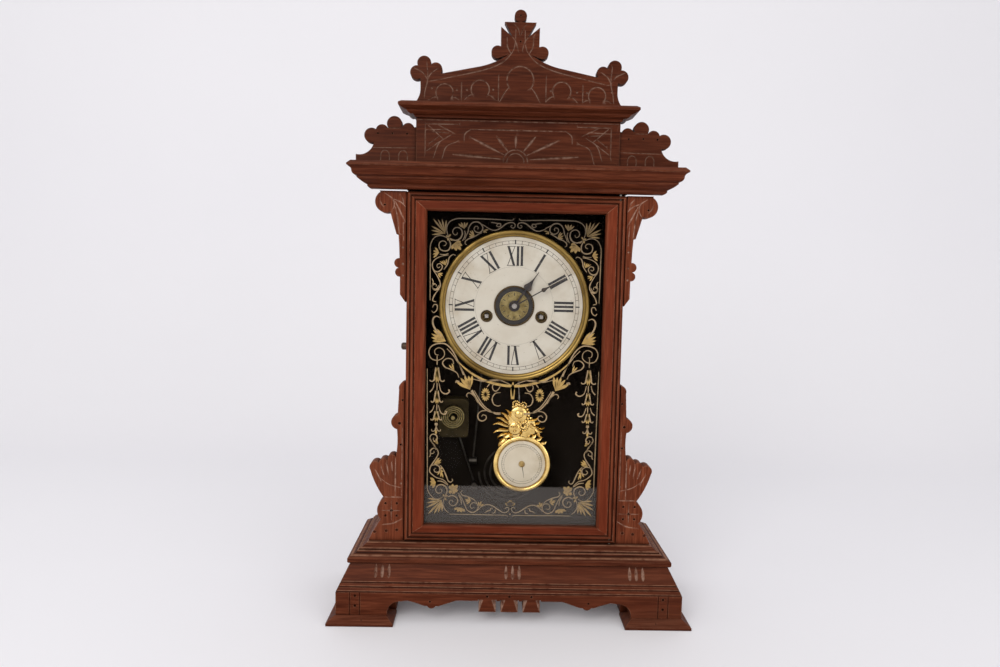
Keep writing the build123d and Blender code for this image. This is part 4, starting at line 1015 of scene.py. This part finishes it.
def build_bob():
    bob_z = BOB_Z
    lean_x, lean_z = math.sin(PENDULUM_LEAN), math.cos(PENDULUM_LEAN)

    def hung(points):
        """The points turned with the leaning pendulum."""
        out = []
        for x, y, z in points:
            down = z - PENDULUM_Z
            out.append((x * lean_z - down * lean_x, y, PENDULUM_Z + x * lean_x + down * lean_z))
        return out

    face = Slabs(4.85, 0.1)
    for inner, outer in ((21.4, 21.7), (19.0, 19.2)):
        face.ring(0, bob_z, inner, outer, 72)
    for k in range(60):
        a = 2 * math.pi * k / 60
        reach = 20.0 if k % 5 else 18.6
        if abs(a - math.pi) > 0.5:
            face.ribbon([(r * math.sin(a), bob_z + r * math.cos(a)) for r in (reach, 21.4)], (0.3, 0.3))
    face.ribbon([(0, bob_z), (1.0, bob_z - 8), (1.6, bob_z - 15.5)], (0.9, 0.6, 0.2))
    piece("bob_marks", hung(face.points), face.faces, ink, "pendulum")
    hub = Slabs(3.9, 1.0)
    hub.disc(0, bob_z, 2.3)
    hub.ring(0, bob_z, 2.6, 3.3, 32)
    piece("bob_hub", hung(hub.points), hub.faces, brass, "pendulum")
    # The casting above the bob: broad and thin leaves, two round bosses, small scrolls, leaves on the rim.
    cast = bmesh.new()

    def leaf(x, z, length, width, angle, rise, y=2.9):
        rows = []
        for k in range(9):
            t = k / 8
            w = width / 2 * math.sin(math.pi * min(1, t * 0.86 + 0.1)) ** 0.8
            bend = angle + 0.25 * math.sin(3 * t)
            cx, cz = x + length * t * math.sin(bend), z + length * t * math.cos(bend)
            row = []
            for s, lift in ((-1, 0), (-0.5, 0.8), (0, 0.4), (0.5, 0.8), (1, 0)):
                hump = rise * lift * math.sin(math.pi * (0.12 + 0.8 * t))
                row.append((cx + s * w * math.cos(bend), y - hump, cz - s * w * math.sin(bend)))
            rows.append(row)
        verts = [[cast.verts.new([c * MM for c in p]) for p in hung(row)] for row in rows]
        under = [[cast.verts.new([c * MM for c in p]) for p in hung([(a, y + 0.8, b) for a, _, b in row])]
                 for row in rows]
        for grid, flip in ((verts, False), (under, True)):
            for r0, r1 in zip(grid, grid[1:]):
                for i in range(4):
                    quad = [r0[i], r0[i + 1], r1[i + 1], r1[i]]
                    cast.faces.new(reversed(quad) if flip else quad)
        rim = verts[0] + [r[-1] for r in verts[1:]] + verts[-1][-2::-1] + [r[0] for r in verts[-2:0:-1]]
        low = under[0] + [r[-1] for r in under[1:]] + under[-1][-2::-1] + [r[0] for r in under[-2:0:-1]]
        for i in range(len(rim)):
            j = (i + 1) % len(rim)
            cast.faces.new((rim[j], rim[i], low[i], low[j]))

    def bead_chain(path, radius, y):
        for px, pz in path:
            centre = Matrix.Translation([c * MM for c in hung([(px, y, pz)])[0]])
            bmesh.ops.create_uvsphere(cast, u_segments=10, v_segments=6, radius=radius * MM, matrix=centre)

    def dome(x, z, size_x, size_z, rise, y=2.6):
        centre = Matrix.Translation([c * MM for c in hung([(x, y, bob_z + z)])[0]])
        size = Matrix.Diagonal((size_x, rise, size_z, 1.0))
        bmesh.ops.create_uvsphere(cast, u_segments=20, v_segments=12, radius=MM, matrix=centre @ size)

    # Distances are from the bob's middle.
    leaf(-4, bob_z + 30, 26, 15, -0.35, 2.4, 2.7)
    leaf(4, bob_z + 30, 22, 15, 0.35, 2.4, 2.7)
    leaf(-2, bob_z + 40, 25, 14, 0.05, 2.4, 2.6)
    left_rays = ((-12, 42, 17, 5, -1.45), (-12, 45, 15, 4.5, -1.15), (-11, 48, 13, 4.5, -0.85),
                 (-12, 38, 17, 5, -1.75), (-12, 35, 14, 4.5, -2.0), (-9, 51, 11, 4, -0.6))
    for x, z, length, width, angle in left_rays:
        leaf(x, bob_z + z, length, width, angle, 2.0, 2.6)
    right_ribbons = ((8, 44, 12, 5.5, 1.9), (13, 41, 12, 5.5, 2.1), (17, 37, 11, 5, 2.5),
                     (9, 47, 11, 4, 1.2), (14, 43, 9, 3.5, 1.1), (19, 38, 7, 3, 1.3))
    left_ribbons = ((-10, 34, 11, 6, -2.2), (-17, 29.5, 11, 5.5, -2.5), (-8, 36, 9, 4, -2.8))
    for x, z, length, width, angle in right_ribbons + left_ribbons:
        leaf(x, bob_z + z, length, width, angle, 2.2, 2.2)
    dome(-1, 54.5, 9.5, 9.0, 2.4)
    dome(-1, 54.5, 5.6, 5.2, 3.6)
    bead_chain([(-1 + 10.6 * math.sin(a), bob_z + 54.5 + 10.2 * math.cos(a))
                for a in np.linspace(-0.6, 3.4, 13)], 1.7, 1.6)
    dome(-6, 39.5, 7.2, 7.6, 2.8)
    dome(-4.6, 41.5, 2.2, 1.8, 4.2)
    dome(-8.4, 41.8, 1.9, 1.6, 4.2)
    dome(-6.2, 37.2, 2.6, 1.6, 4.0)
    bead_chain(spiral_path(3.5, bob_z + 42, 5.5, 200, 1.4, 0.25, 18), 1.2, 1.2)
    bead_chain(spiral_path(-4, bob_z + 65.5, 4.0, 0, 1.2, 0.25, 14), 1.1, 1.6)
    bead_chain(spiral_path(4.5, bob_z + 64, 3.6, 180, -1.2, 0.25, 12), 1.0, 1.6)
    for k in range(9):
        a = math.radians(-44 + 11 * k)
        leaf(30.5 * math.sin(a), bob_z + 30.5 * math.cos(a), 6.0, 4.2, a + 0.5, 1.4, 2.9)
    bmesh.ops.recalc_face_normals(cast, faces=cast.faces)
    mesh = bpy.data.meshes.new("bob_casting")
    cast.to_mesh(mesh)
    cast.free()
    mesh.materials.append(gilt_brass)
    mesh.shade_smooth()
    mesh.set_sharp_from_angle(angle=math.radians(60))
    made = bpy.data.objects.new("bob_casting", mesh)
    bpy.context.scene.collection.objects.link(made)
    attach(made, "pendulum")
    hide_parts("bob_ornament")


# Gilding on the glass

# Widths of the lines along their length.
SCROLL = (0.6, 1.25, 0.6)
STEM = (0.7, 1, 0.7)
CURL = (1.1, 1.3, 0.9, 0.6)
TENDRIL = (1, 1.3, 0.9)

# One half of the pattern: lines with their widths, and fans of petals that start at their first point.
STROKES = [
    (STEM, [(-67.9, 384.8), (-69.8, 390.5), (-69.3, 396.5), (-66.2, 400.7), (-60.5, 403),
      (-54.7, 403.5), (-38.7, 403.6), (-19.5, 403.2), (-4.7, 402.8), (-2.7, 404.7)]),
    (STEM, [(-68.8, 383.5), (-73, 385.4), (-77.5, 386), (-82.3, 383.8), (-85.4, 378.7),
      (-86.3, 372.9), (-86.1, 358.8), (-85.8, 320.9)]),
    (CURL, [(-66.9, 383.5), (-63.7, 382), (-60.1, 381.6), (-56.3, 383.6), (-54.3, 387.9),
      (-55.2, 392.2), (-58.3, 394.4), (-61.6, 394), (-63.7, 391.5), (-63.6, 388.7), (-61.5, 386.9),
      (-59.5, 387.8), (-59.4, 389.4)]),
    (CURL, [(-67.9, 382.5), (-66.1, 378.4), (-66.2, 374.6), (-68.3, 371.5), (-72.2, 370.7),
      (-75.9, 372.1), (-77.6, 375.6), (-76.8, 379.1), (-74.1, 380.7), (-71.3, 380.1), (-70.2, 378.1),
      (-71.2, 376.3), (-72.9, 375.9)]),
    (SCROLL, [(-51.8, 382.2), (-50.3, 386.4), (-48.6, 390.3), (-47.7, 394.7), (-45, 398.9),
      (-40.7, 400.5), (-36.4, 399.1), (-33.9, 395.4), (-34.3, 392), (-37.2, 389.8), (-40.5, 390.4),
      (-42.6, 392.8), (-41.8, 395.4), (-39.5, 396.1), (-38.2, 394.6), (-39, 393)]),
    (STEM, [(-52, 391.5), (-51.3, 388.3), (-52.2, 384.5), (-54, 381.2)]),
    (SCROLL, [(-34.6, 389.8), (-38.4, 387.9), (-42.9, 385.3), (-48, 383.3), (-51, 380.7),
      (-51.1, 378.2), (-49.3, 377.4)]),
    (SCROLL, [(-35.7, 398.7), (-31.5, 396.4), (-27, 393.6), (-22.5, 392.4), (-17.9, 393.5),
      (-13.6, 396.6), (-9.8, 399.4), (-5.3, 400.6), (-2.1, 399.6), (-1.3, 397), (-3, 395), (-5.2, 395.7),
      (-5.5, 397.3), (-3.9, 397.9)]),
    (STEM, [(-25.5, 400.3), (-22, 399.9), (-19.1, 399.2), (-16.2, 399.1), (-15.9, 396.8),
      (-18.2, 395.9), (-20, 397.1), (-19.1, 398.4)]),
    (SCROLL, [(-67.7, 366.8), (-74.7, 365.4), (-80.4, 362.7), (-83.6, 358.8), (-83.8, 354.4),
      (-81.9, 350.7), (-78.4, 349.7), (-75, 352), (-73.9, 355.3), (-75.8, 357.8), (-78.7, 357.3),
      (-79.3, 355), (-77.6, 353.6), (-76.3, 354.8)]),
    (STEM, [(-76.6, 367.4), (-71.5, 367), (-67.9, 368.2)]),
    (SCROLL, [(-72.2, 352.1), (-68.8, 357.3), (-67.8, 361.8), (-66.3, 365.3), (-63, 367.3),
      (-60.7, 366.3)]),
    (SCROLL, [(-83.1, 351.2), (-80.2, 347.4), (-77.6, 343), (-75.8, 338.5), (-76.4, 334),
      (-80, 331.2), (-83.2, 332.5), (-83.9, 335.7), (-81.8, 337.8), (-79.7, 336.5), (-80, 334.7)]),
    (STEM, [(-84.1, 342.7), (-82.9, 339.7), (-83.7, 336.3)]),
    (SCROLL, [(-77, 336.1), (-79.7, 332.3), (-83, 332.7), (-83.7, 335.5), (-81.2, 337.4)]),
    (SCROLL, [(-76.7, 332.4), (-81.3, 326.5), (-83.1, 320.6), (-79.6, 319.3)]),
    (STEM, [(-83.2, 313.7), (-81.6, 316.5), (-78.6, 315.9), (-78.8, 311.2), (-82, 308.3),
      (-84.1, 310.2)]),
    ((0.6, 1.6, 1.8, 0.8), [(-75.2, 303.3), (-79.4, 304.7), (-82.6, 301.8), (-82.3, 296), (-79.2, 290.2),
      (-73.5, 284.4)]),
    (CURL, [(-50.7, 245.1), (-55.6, 256.8), (-62.2, 269.6), (-69.2, 276.3), (-76.7, 276.9),
      (-83.6, 274.1), (-86.4, 268), (-83.5, 261.2), (-76.4, 259.9), (-70.9, 264), (-71.2, 269.7),
      (-75.7, 272.6), (-80.1, 270.4), (-79.8, 266), (-76.5, 265.1)]),
    (STEM, [(-68, 271.9), (-61.5, 264.9), (-54.4, 254.4), (-48.1, 242.5)]),
    (SCROLL, [(-55.3, 242.4), (-57.8, 247.3), (-64.1, 250.7), (-69.8, 253), (-72.2, 257.6),
      (-68, 261.7), (-62.4, 260.7), (-60.9, 256)]),
    (SCROLL, [(-41, 241.2), (-30.6, 239), (-20.1, 240.4), (-11.8, 239.9), (-2.3, 235.8)]),
    (STEM, [(-77.9, 264.6), (-77.8, 254.9)]),
    (TENDRIL, [(-79.2, 252.3), (-80.1, 244.9), (-81.2, 238.8), (-84.4, 238.1), (-84.8, 239.4)]),
    (TENDRIL, [(-76.4, 252.3), (-75.3, 245), (-74, 238.9), (-70.8, 238.3), (-70.4, 239.7)]),
    (TENDRIL, [(-79, 228.3), (-79.8, 222.1), (-80.8, 217.2), (-83, 216.5), (-83.4, 217.9)]),
    (TENDRIL, [(-76.3, 228.4), (-75.4, 222.2), (-74.2, 217.3), (-72.1, 216.7), (-71.7, 218.1)]),
    (TENDRIL, [(-79.3, 207.2), (-80.1, 202.3), (-81.1, 198.6), (-83, 197.9), (-83.5, 199.3)]),
    (TENDRIL, [(-76.6, 207.2), (-75.7, 202.3), (-74.5, 198.7), (-72.6, 198.1), (-72.2, 199.5)]),
    (STEM, [(-77.6, 236.3), (-77.6, 228.9)]),
    (STEM, [(-77.5, 214.6), (-77.6, 207.7)]),
    ((0.7, 0.9, 1.3), [(-80.4, 236), (-81.8, 230.7), (-84.8, 226.9)]),
    ((0.7, 0.9, 1.3, 1.4), [(-75.6, 236), (-73.8, 228.7), (-70.8, 225.8), (-67.6, 225.4), (-64.9, 227.6),
      (-65.7, 229.8)]),
    ((0.7, 0.9, 1.3), [(-80.2, 213.3), (-81.9, 208.5), (-84.8, 205.5)]),
    ((0.7, 0.9, 1.3, 1.4), [(-76, 213.3), (-74, 207.1), (-71.5, 204.3), (-68.5, 204.5), (-67.6, 206.5),
      (-69, 207.4)]),
    ((2.8, 3.2, 2.8), [(-77.9, 195), (-77.9, 192.3)]),
    (STEM, [(-77.9, 192.3), (-78, 187.3)]),
    (STEM, [(-78.1, 191.5), (-79.5, 186.7), (-82.2, 186.4), (-82.6, 188.3)]),
    (STEM, [(-77.8, 191.5), (-76.2, 187), (-73.7, 186.7), (-73.4, 188.4)]),
    (SCROLL, [(-82.6, 174.9), (-84.2, 178.4), (-83.3, 181.9), (-80.6, 183.2), (-77.7, 182),
      (-76.6, 178.8), (-77.9, 176.2), (-79.9, 176.3), (-80.9, 178.2), (-80, 179.3)]),
    (SCROLL, [(-83.9, 178.7), (-81.8, 174.4), (-78.7, 170.2), (-77.8, 166.6)]),
    ((1.2, 1.4, 1), [(-54.8, 238.1), (-57.9, 238.8), (-58.4, 236.9)]),
    ((2.6, 1.2, 1.2), [(-42.1, 229.3), (-37.2, 220.9), (-31.3, 213.3), (-25.5, 208.6), (-18.1, 206.6),
      (-11.9, 206.2)]),
    (STEM, [(-39.5, 229.3), (-34.6, 221), (-29.3, 213.7), (-23.4, 209), (-17, 205.3),
      (-11.9, 205.1)]),
    (STEM, [(-35.6, 216.7), (-39.4, 223), (-42.8, 226.3), (-45.7, 226.5), (-47.2, 224.4),
      (-46.3, 222.2)]),
    (SCROLL, [(-23.4, 208.5), (-28.1, 208.6), (-32.3, 207.7), (-35.3, 204), (-34.2, 199.3),
      (-30.4, 197.8), (-26.9, 200), (-26.9, 203.1), (-30, 204.2), (-31.5, 202.4)]),
    (STEM, [(-26.4, 233.1), (-23.8, 236.6)]),
    (SCROLL, [(-12.5, 235.1), (-14.1, 231.9), (-17, 229), (-20, 230.4), (-20.9, 233.9),
      (-19.2, 236.7)]),
    (SCROLL, [(-12.4, 227.7), (-18, 226.5), (-20.9, 221.2), (-19.2, 215.5), (-15.1, 213.6),
      (-12.1, 214.5)]),
    (SCROLL, [(-38.2, 243.7), (-32.9, 240.2), (-25.6, 239.5), (-12.6, 240.1)]),
    (STEM, [(-87.8, 251), (-86.9, 176.9), (-86.5, 150.2), (-86.3, 127.3), (-85.3, 123.3),
      (-83, 119.3), (-78.8, 115.5), (-74.2, 115.2), (-70.2, 117.3)]),
    (STEM, [(-68.7, 115.4), (-69.8, 109.5), (-67.7, 104.1), (-64, 100.5)]),
    (STEM, [(-63, 99.1), (-39.8, 99.1), (-16.6, 98.9), (-4.4, 98.7), (-2.5, 97.1)]),
    ((1.5, 1.5), [(-0.9, 99.9), (0.1, 99.9)]),
    (CURL, [(-67.7, 118.7), (-65.7, 123.2), (-66.9, 127.6), (-70.7, 130.1), (-75.2, 129.4),
      (-77.6, 125.4), (-76.2, 121.8), (-72.7, 121.4), (-71, 124), (-72.6, 125.8)]),
    (CURL, [(-64.9, 117.4), (-60.3, 118.9), (-56.1, 117), (-54.6, 113.1), (-56.9, 109),
      (-61, 108.4), (-63.5, 111.3), (-62.2, 113.8), (-59.9, 113.8), (-59.5, 111.5)]),
    (SCROLL, [(-83.2, 177.6), (-79.7, 170.9), (-76.4, 166.9), (-75.4, 162.9), (-77.7, 157.7),
      (-81, 152.8), (-83.5, 148.2), (-84, 144.2), (-81.9, 141.2), (-76.8, 137.6), (-70.1, 135.5),
      (-64.8, 130.6)]),
    (SCROLL, [(-76.4, 166.9), (-80.2, 168.5), (-83.6, 165.7), (-82.5, 162.8), (-79.7, 163.8),
      (-80, 165.5)]),
    (STEM, [(-83.7, 164.9), (-83.5, 160.9), (-84.7, 159.3)]),
    (SCROLL, [(-82.9, 150.2), (-77.7, 151.1), (-73.7, 148.4), (-74.1, 144.3), (-77.5, 143.2),
      (-79.6, 145.6), (-77.6, 147.6)]),
    (SCROLL, [(-73.7, 150.9), (-70.2, 146.9), (-66.9, 139.7), (-64.7, 134.4), (-62.2, 133),
      (-60.1, 135), (-60.9, 136.6)]),
    (STEM, [(-75.9, 134.2), (-70.8, 133.5), (-65.2, 129.9)]),
    (SCROLL, [(-54.2, 121.6), (-50, 115.7), (-47.4, 109.7), (-44.6, 103.8), (-39.2, 101.3),
      (-34.6, 103.6), (-33.2, 107.9), (-35.5, 111.2), (-39.3, 111.4), (-41.6, 108.4), (-40, 105.7),
      (-37.2, 106.6)]),
    (SCROLL, [(-49.8, 124.5), (-51.7, 122.3), (-49.4, 119.3), (-44.1, 117.9), (-38, 115.1),
      (-34.5, 111.7)]),
    (STEM, [(-53.9, 119.6), (-51.4, 114.9), (-50.6, 109.6)]),
    (SCROLL, [(-33.9, 103.4), (-29.4, 107.8), (-24.1, 109.9), (-18.8, 108.8), (-13.4, 105.3),
      (-7.4, 101.8), (-3.4, 102.2), (-1.1, 105.7), (-3.5, 107.4), (-5.4, 105.5)]),
    (SCROLL, [(-26, 101.1), (-23.3, 103.2), (-20.7, 103.7), (-20.1, 105.9), (-18, 106.1)]),
    (SCROLL, [(-15.3, 104.8), (-16, 101.4), (-18.8, 100.9)]),
]
FANS = [
    (1.7, [(-71.5, 388.2), (-70.6, 401.7), (-74.9, 402.7), (-78.9, 402.3), (-83.8, 402.7), (-85.6, 395.4),
      (-85.7, 391.3), (-84.8, 386.8)]),
    (1.6, [(-67.9, 384.5), (-66, 387.7), (-70.8, 386), (-69.1, 381.2), (-64, 381)]),
    (3.4, [(-61.7, 379.2), (-55.6, 380.3), (-54, 376.5), (-55.2, 372), (-60, 370.9), (-64.7, 372.7)]),
    (1.7, [(-52.4, 393.2), (-58.4, 398.3), (-55.8, 399.9), (-52.1, 400.1), (-49, 399.7)]),
    (1.3, [(-41.6, 385.3), (-44.9, 392.4), (-46.8, 391.5), (-47.8, 388.5), (-47.5, 385.8)]),
    (1.2, [(-33.1, 392.2), (-27.9, 392.8), (-29.5, 389.7), (-32, 389.4)]),
    (1.2, [(-70.4, 356.3), (-69.8, 362.9), (-72.6, 361.6), (-74.6, 360.9), (-76.5, 360.3)]),
    (1.9, [(-77.3, 368.9), (-81.5, 374), (-83.2, 370.7), (-83.5, 367.1), (-83, 363.8)]),
    (1.2, [(-78.8, 348.1), (-73, 348.1), (-73.4, 345.8), (-75.5, 343.6)]),
    (2.6, [(-69.2, 279.3), (-78.3, 291.8), (-82.2, 290.6), (-84, 286.8), (-84.2, 283), (-83, 279.3)]),
    (1.6, [(-60.1, 249), (-65.8, 255.2), (-62.8, 256.9)]),
    (2.2, [(-77.8, 252.8), (-80.6, 238.1), (-78.5, 236.4), (-76.4, 236.4), (-74.7, 238.2)]),
    (2.2, [(-77.7, 228.9), (-80.2, 216.4), (-78.4, 214.8), (-76.4, 214.8), (-74.9, 216.5)]),
    (2.2, [(-77.9, 207.7), (-80.5, 197.9), (-78.7, 196.2), (-76.7, 196.2), (-75.2, 198)]),
    (2.2, [(-78.1, 188.9), (-78, 182.9)]),
    (1.8, [(-78.1, 176.1), (-75.8, 172.9), (-77, 178.8)]),
    (3.2, [(-43.8, 230), (-57.9, 237.8), (-53.7, 242.1), (-49.6, 244.3), (-45.5, 244.6), (-41.7, 245.1)]),
    (1.5, [(-26.7, 225.3), (-23.2, 225.4)]),
    (1.5, [(-26.8, 224.6), (-23.6, 222.3)]),
    (1.5, [(-27.1, 223.9), (-24.8, 219.8)]),
    (1.5, [(-27.5, 223.6), (-26.6, 218.3)]),
    (1.5, [(-28, 223.6), (-28.7, 218.3)]),
    (1.5, [(-28.5, 223.9), (-30.6, 219.6)]),
    (1.5, [(-28.8, 224.5), (-31.9, 222.1)]),
    (1.5, [(-29, 225.3), (-32.4, 225.2)]),
    (1.5, [(-28.9, 226.1), (-32, 228.4)]),
    (1.5, [(-28.6, 226.7), (-30.8, 230.9)]),
    (1.5, [(-28.1, 227.1), (-29, 232.3)]),
    (1.5, [(-27.6, 227.1), (-26.9, 232.3)]),
    (1.5, [(-27.1, 226.7), (-25, 231)]),
    (1.5, [(-26.8, 226.1), (-23.7, 228.5)]),
    (2, [(-71.2, 114), (-85.6, 115.3), (-86.7, 110.5), (-87, 105.5), (-85.4, 98.5), (-79, 99),
      (-74.5, 100.4), (-70.5, 101.3)]),
    (1.8, [(-68.4, 117.3), (-69.8, 120.1), (-65, 119), (-66.3, 113.6)]),
    (3.6, [(-59.7, 123.7), (-63.6, 129.3), (-60.2, 131.1), (-55, 130.1), (-54.4, 124.4), (-58.1, 120.6),
      (-64.1, 122.1)]),
    (2.8, [(-77.6, 132.8), (-83.4, 137.6), (-83.6, 133.4), (-83.2, 129.2), (-80.7, 126.6)]),
    (2.8, [(-51.1, 106.2), (-58.5, 104.4), (-55, 101.8), (-50.7, 101.1), (-46.9, 102.1)]),
    (1.7, [(-79.8, 151.9), (-74, 158.7), (-72, 156.7), (-72.2, 154), (-73.7, 152.3)]),
    (1.4, [(-72.4, 145.7), (-70, 137.5), (-72.4, 138), (-76, 140.4), (-71.6, 148.8), (-70.1, 143.7)]),
    (1.6, [(-78.4, 174.6), (-80.2, 176.6), (-76.1, 176.4), (-76.5, 173.6)]),
    (1.6, [(-40.7, 113.5), (-47.4, 115.1), (-46.8, 112.9), (-45.6, 110.1), (-44.1, 117.2)]),
    (1.5, [(-31.7, 107.6), (-33.3, 112.8), (-30.2, 113.5), (-27.5, 110.5)]),
    (2.8, [(-0.6, 108.4), (-5.1, 111.9), (-3, 113.2), (-0.7, 115), (1.6, 113.3), (3.8, 112)]),
]


def build_stencil():
    lines = Slabs(GLASS_BACK + 0.02, 0.05)
    for widths, points in STROKES:
        lines.ribbon(smooth_path(points, 1.0), widths)
    lines.mirrored()
    lines.make("stencil_lines", pale_gilding, "door")
    leaves = Slabs(GLASS_BACK + 0.1, 0.05)
    for width, (base, *tips) in FANS:
        for tip in tips:
            dx, dz = tip[0] - base[0], tip[1] - base[1]
            leaves.petal(*base, math.hypot(dx, dz), width, math.atan2(dx, dz), 0.62, 7)
    leaves.mirrored()
    band = [[], []]
    for k in range(49):
        a = math.radians(222 + 96 * k / 48)
        swell = math.sin(math.pi * k / 48) ** 0.5
        for row, radius in zip(band, (79.4, 79.5 + 2.6 * swell)):
            row.append((radius * math.cos(a), DIAL_Z - 1.0 + radius * math.sin(a)))
    leaves.strip(*band)
    leaves.ribbon(smooth_path([(0, 234), (0, 224)], 1.0), (3.6, 1.2))
    leaves.ribbon(smooth_path([(0, 238.5), (0, 228), (0, 221)], 1.0), (1.0, 4.6, 3.4))
    leaves.make("stencil_leaves", gilding, "door")


# Room, light and camera

def build_room():
    made, tree, shader = new_material("pale_sweep")
    place = object_place(tree)[0]
    cloud = noise(tree, place, 1.3, 3)
    colour = blend_colour(tree, cloud, (0.84, 0.835, 0.875, 1), (0.88, 0.875, 0.91, 1))
    tree.links.new(colour, shader.inputs["Base Color"])
    shader.inputs["Roughness"].default_value = 0.75
    shader.inputs["Specular IOR Level"].default_value = 0.2
    section = [(-3.0, 0.0), (0.55, 0.0)]
    section += [(0.55 + 0.5 * math.sin(a), 0.5 - 0.5 * math.cos(a)) for a in np.radians(range(10, 91, 10))]
    section += [(1.05, 4.0)]
    points = [(x, y, z - 0.00005) for x in (-4.0, 4.0) for y, z in section]
    count = len(section)
    faces = [(i, count + i, count + i + 1, i + 1) for i in range(count - 1)]
    mesh = bpy.data.meshes.new("sweep")
    mesh.from_pydata(points, [], faces)
    mesh.materials.append(made)
    mesh.shade_smooth()
    sweep = bpy.data.objects.new("sweep", mesh)
    bpy.context.scene.collection.objects.link(sweep)

    world = bpy.data.worlds.new("soft_room")
    bpy.context.scene.world = world
    world.use_nodes = True
    tree = world.node_tree
    light = tree.nodes["Background"]
    light.inputs["Color"].default_value = (1.0, 0.985, 0.97, 1)
    light.inputs["Strength"].default_value = 0.72
    seen = node(tree, "ShaderNodeBackground", {"Color": (0.85, 0.84, 0.88, 1), "Strength": 1.0})
    path = node(tree, "ShaderNodeLightPath")
    direct = math_node(tree, "MAXIMUM", path.outputs["Is Camera Ray"], path.outputs["Is Transmission Ray"])
    direct = math_node(tree, "MAXIMUM", direct, path.outputs["Is Glossy Ray"])
    mix = node(tree, "ShaderNodeMixShader", {0: direct, 1: light.outputs[0], 2: seen.outputs[0]})
    tree.links.new(mix.outputs[0], tree.nodes["World Output"].inputs[0])

    lamps = (("key", (-0.75, -1.7, 1.35), 1.3, 20.0), ("fill", (1.3, -1.5, 0.7), 1.2, 6.0))
    for name, place, size, power in lamps:
        data = bpy.data.lights.new(name, "AREA")
        data.size, data.energy, data.color = size, power, (1.0, 0.985, 0.965)
        lamp = bpy.data.objects.new(name, data)
        lamp.location = place
        aim = Vector((0, 0, 0.3)) - Vector(place)
        lamp.rotation_mode = "QUATERNION"
        lamp.rotation_quaternion = aim.to_track_quat("-Z", "Y")
        bpy.context.scene.collection.objects.link(lamp)


def build_camera():
    yaw, pitch, roll = math.radians(0.87), math.radians(4.49), math.radians(1.19)
    forward = Vector((math.sin(yaw) * math.cos(pitch), math.cos(yaw) * math.cos(pitch), -math.sin(pitch)))
    level = Vector((math.cos(yaw), -math.sin(yaw), 0.0))
    upright = level.cross(forward)
    right = math.cos(roll) * level + math.sin(roll) * upright
    up = math.cos(roll) * upright - math.sin(roll) * level
    data = bpy.data.cameras.new("camera")
    data.sensor_width, data.lens = 36.0, 24.58
    camera = bpy.data.objects.new("camera", data)
    turn = Matrix((right, up, -forward)).transposed().to_4x4()
    camera.matrix_world = Matrix.Translation((-0.0248, -0.7118, 0.3428)) @ turn
    bpy.context.scene.collection.objects.link(camera)
    bpy.context.scene.camera = camera


build_crest()
build_frieze()
build_wings()
build_brackets()
build_skirt()
build_pads()
build_dial(tick_tree())
build_bob()
build_stencil()
build_room()
build_camera()
bpy.context.scene.view_settings.view_transform = "Standard"
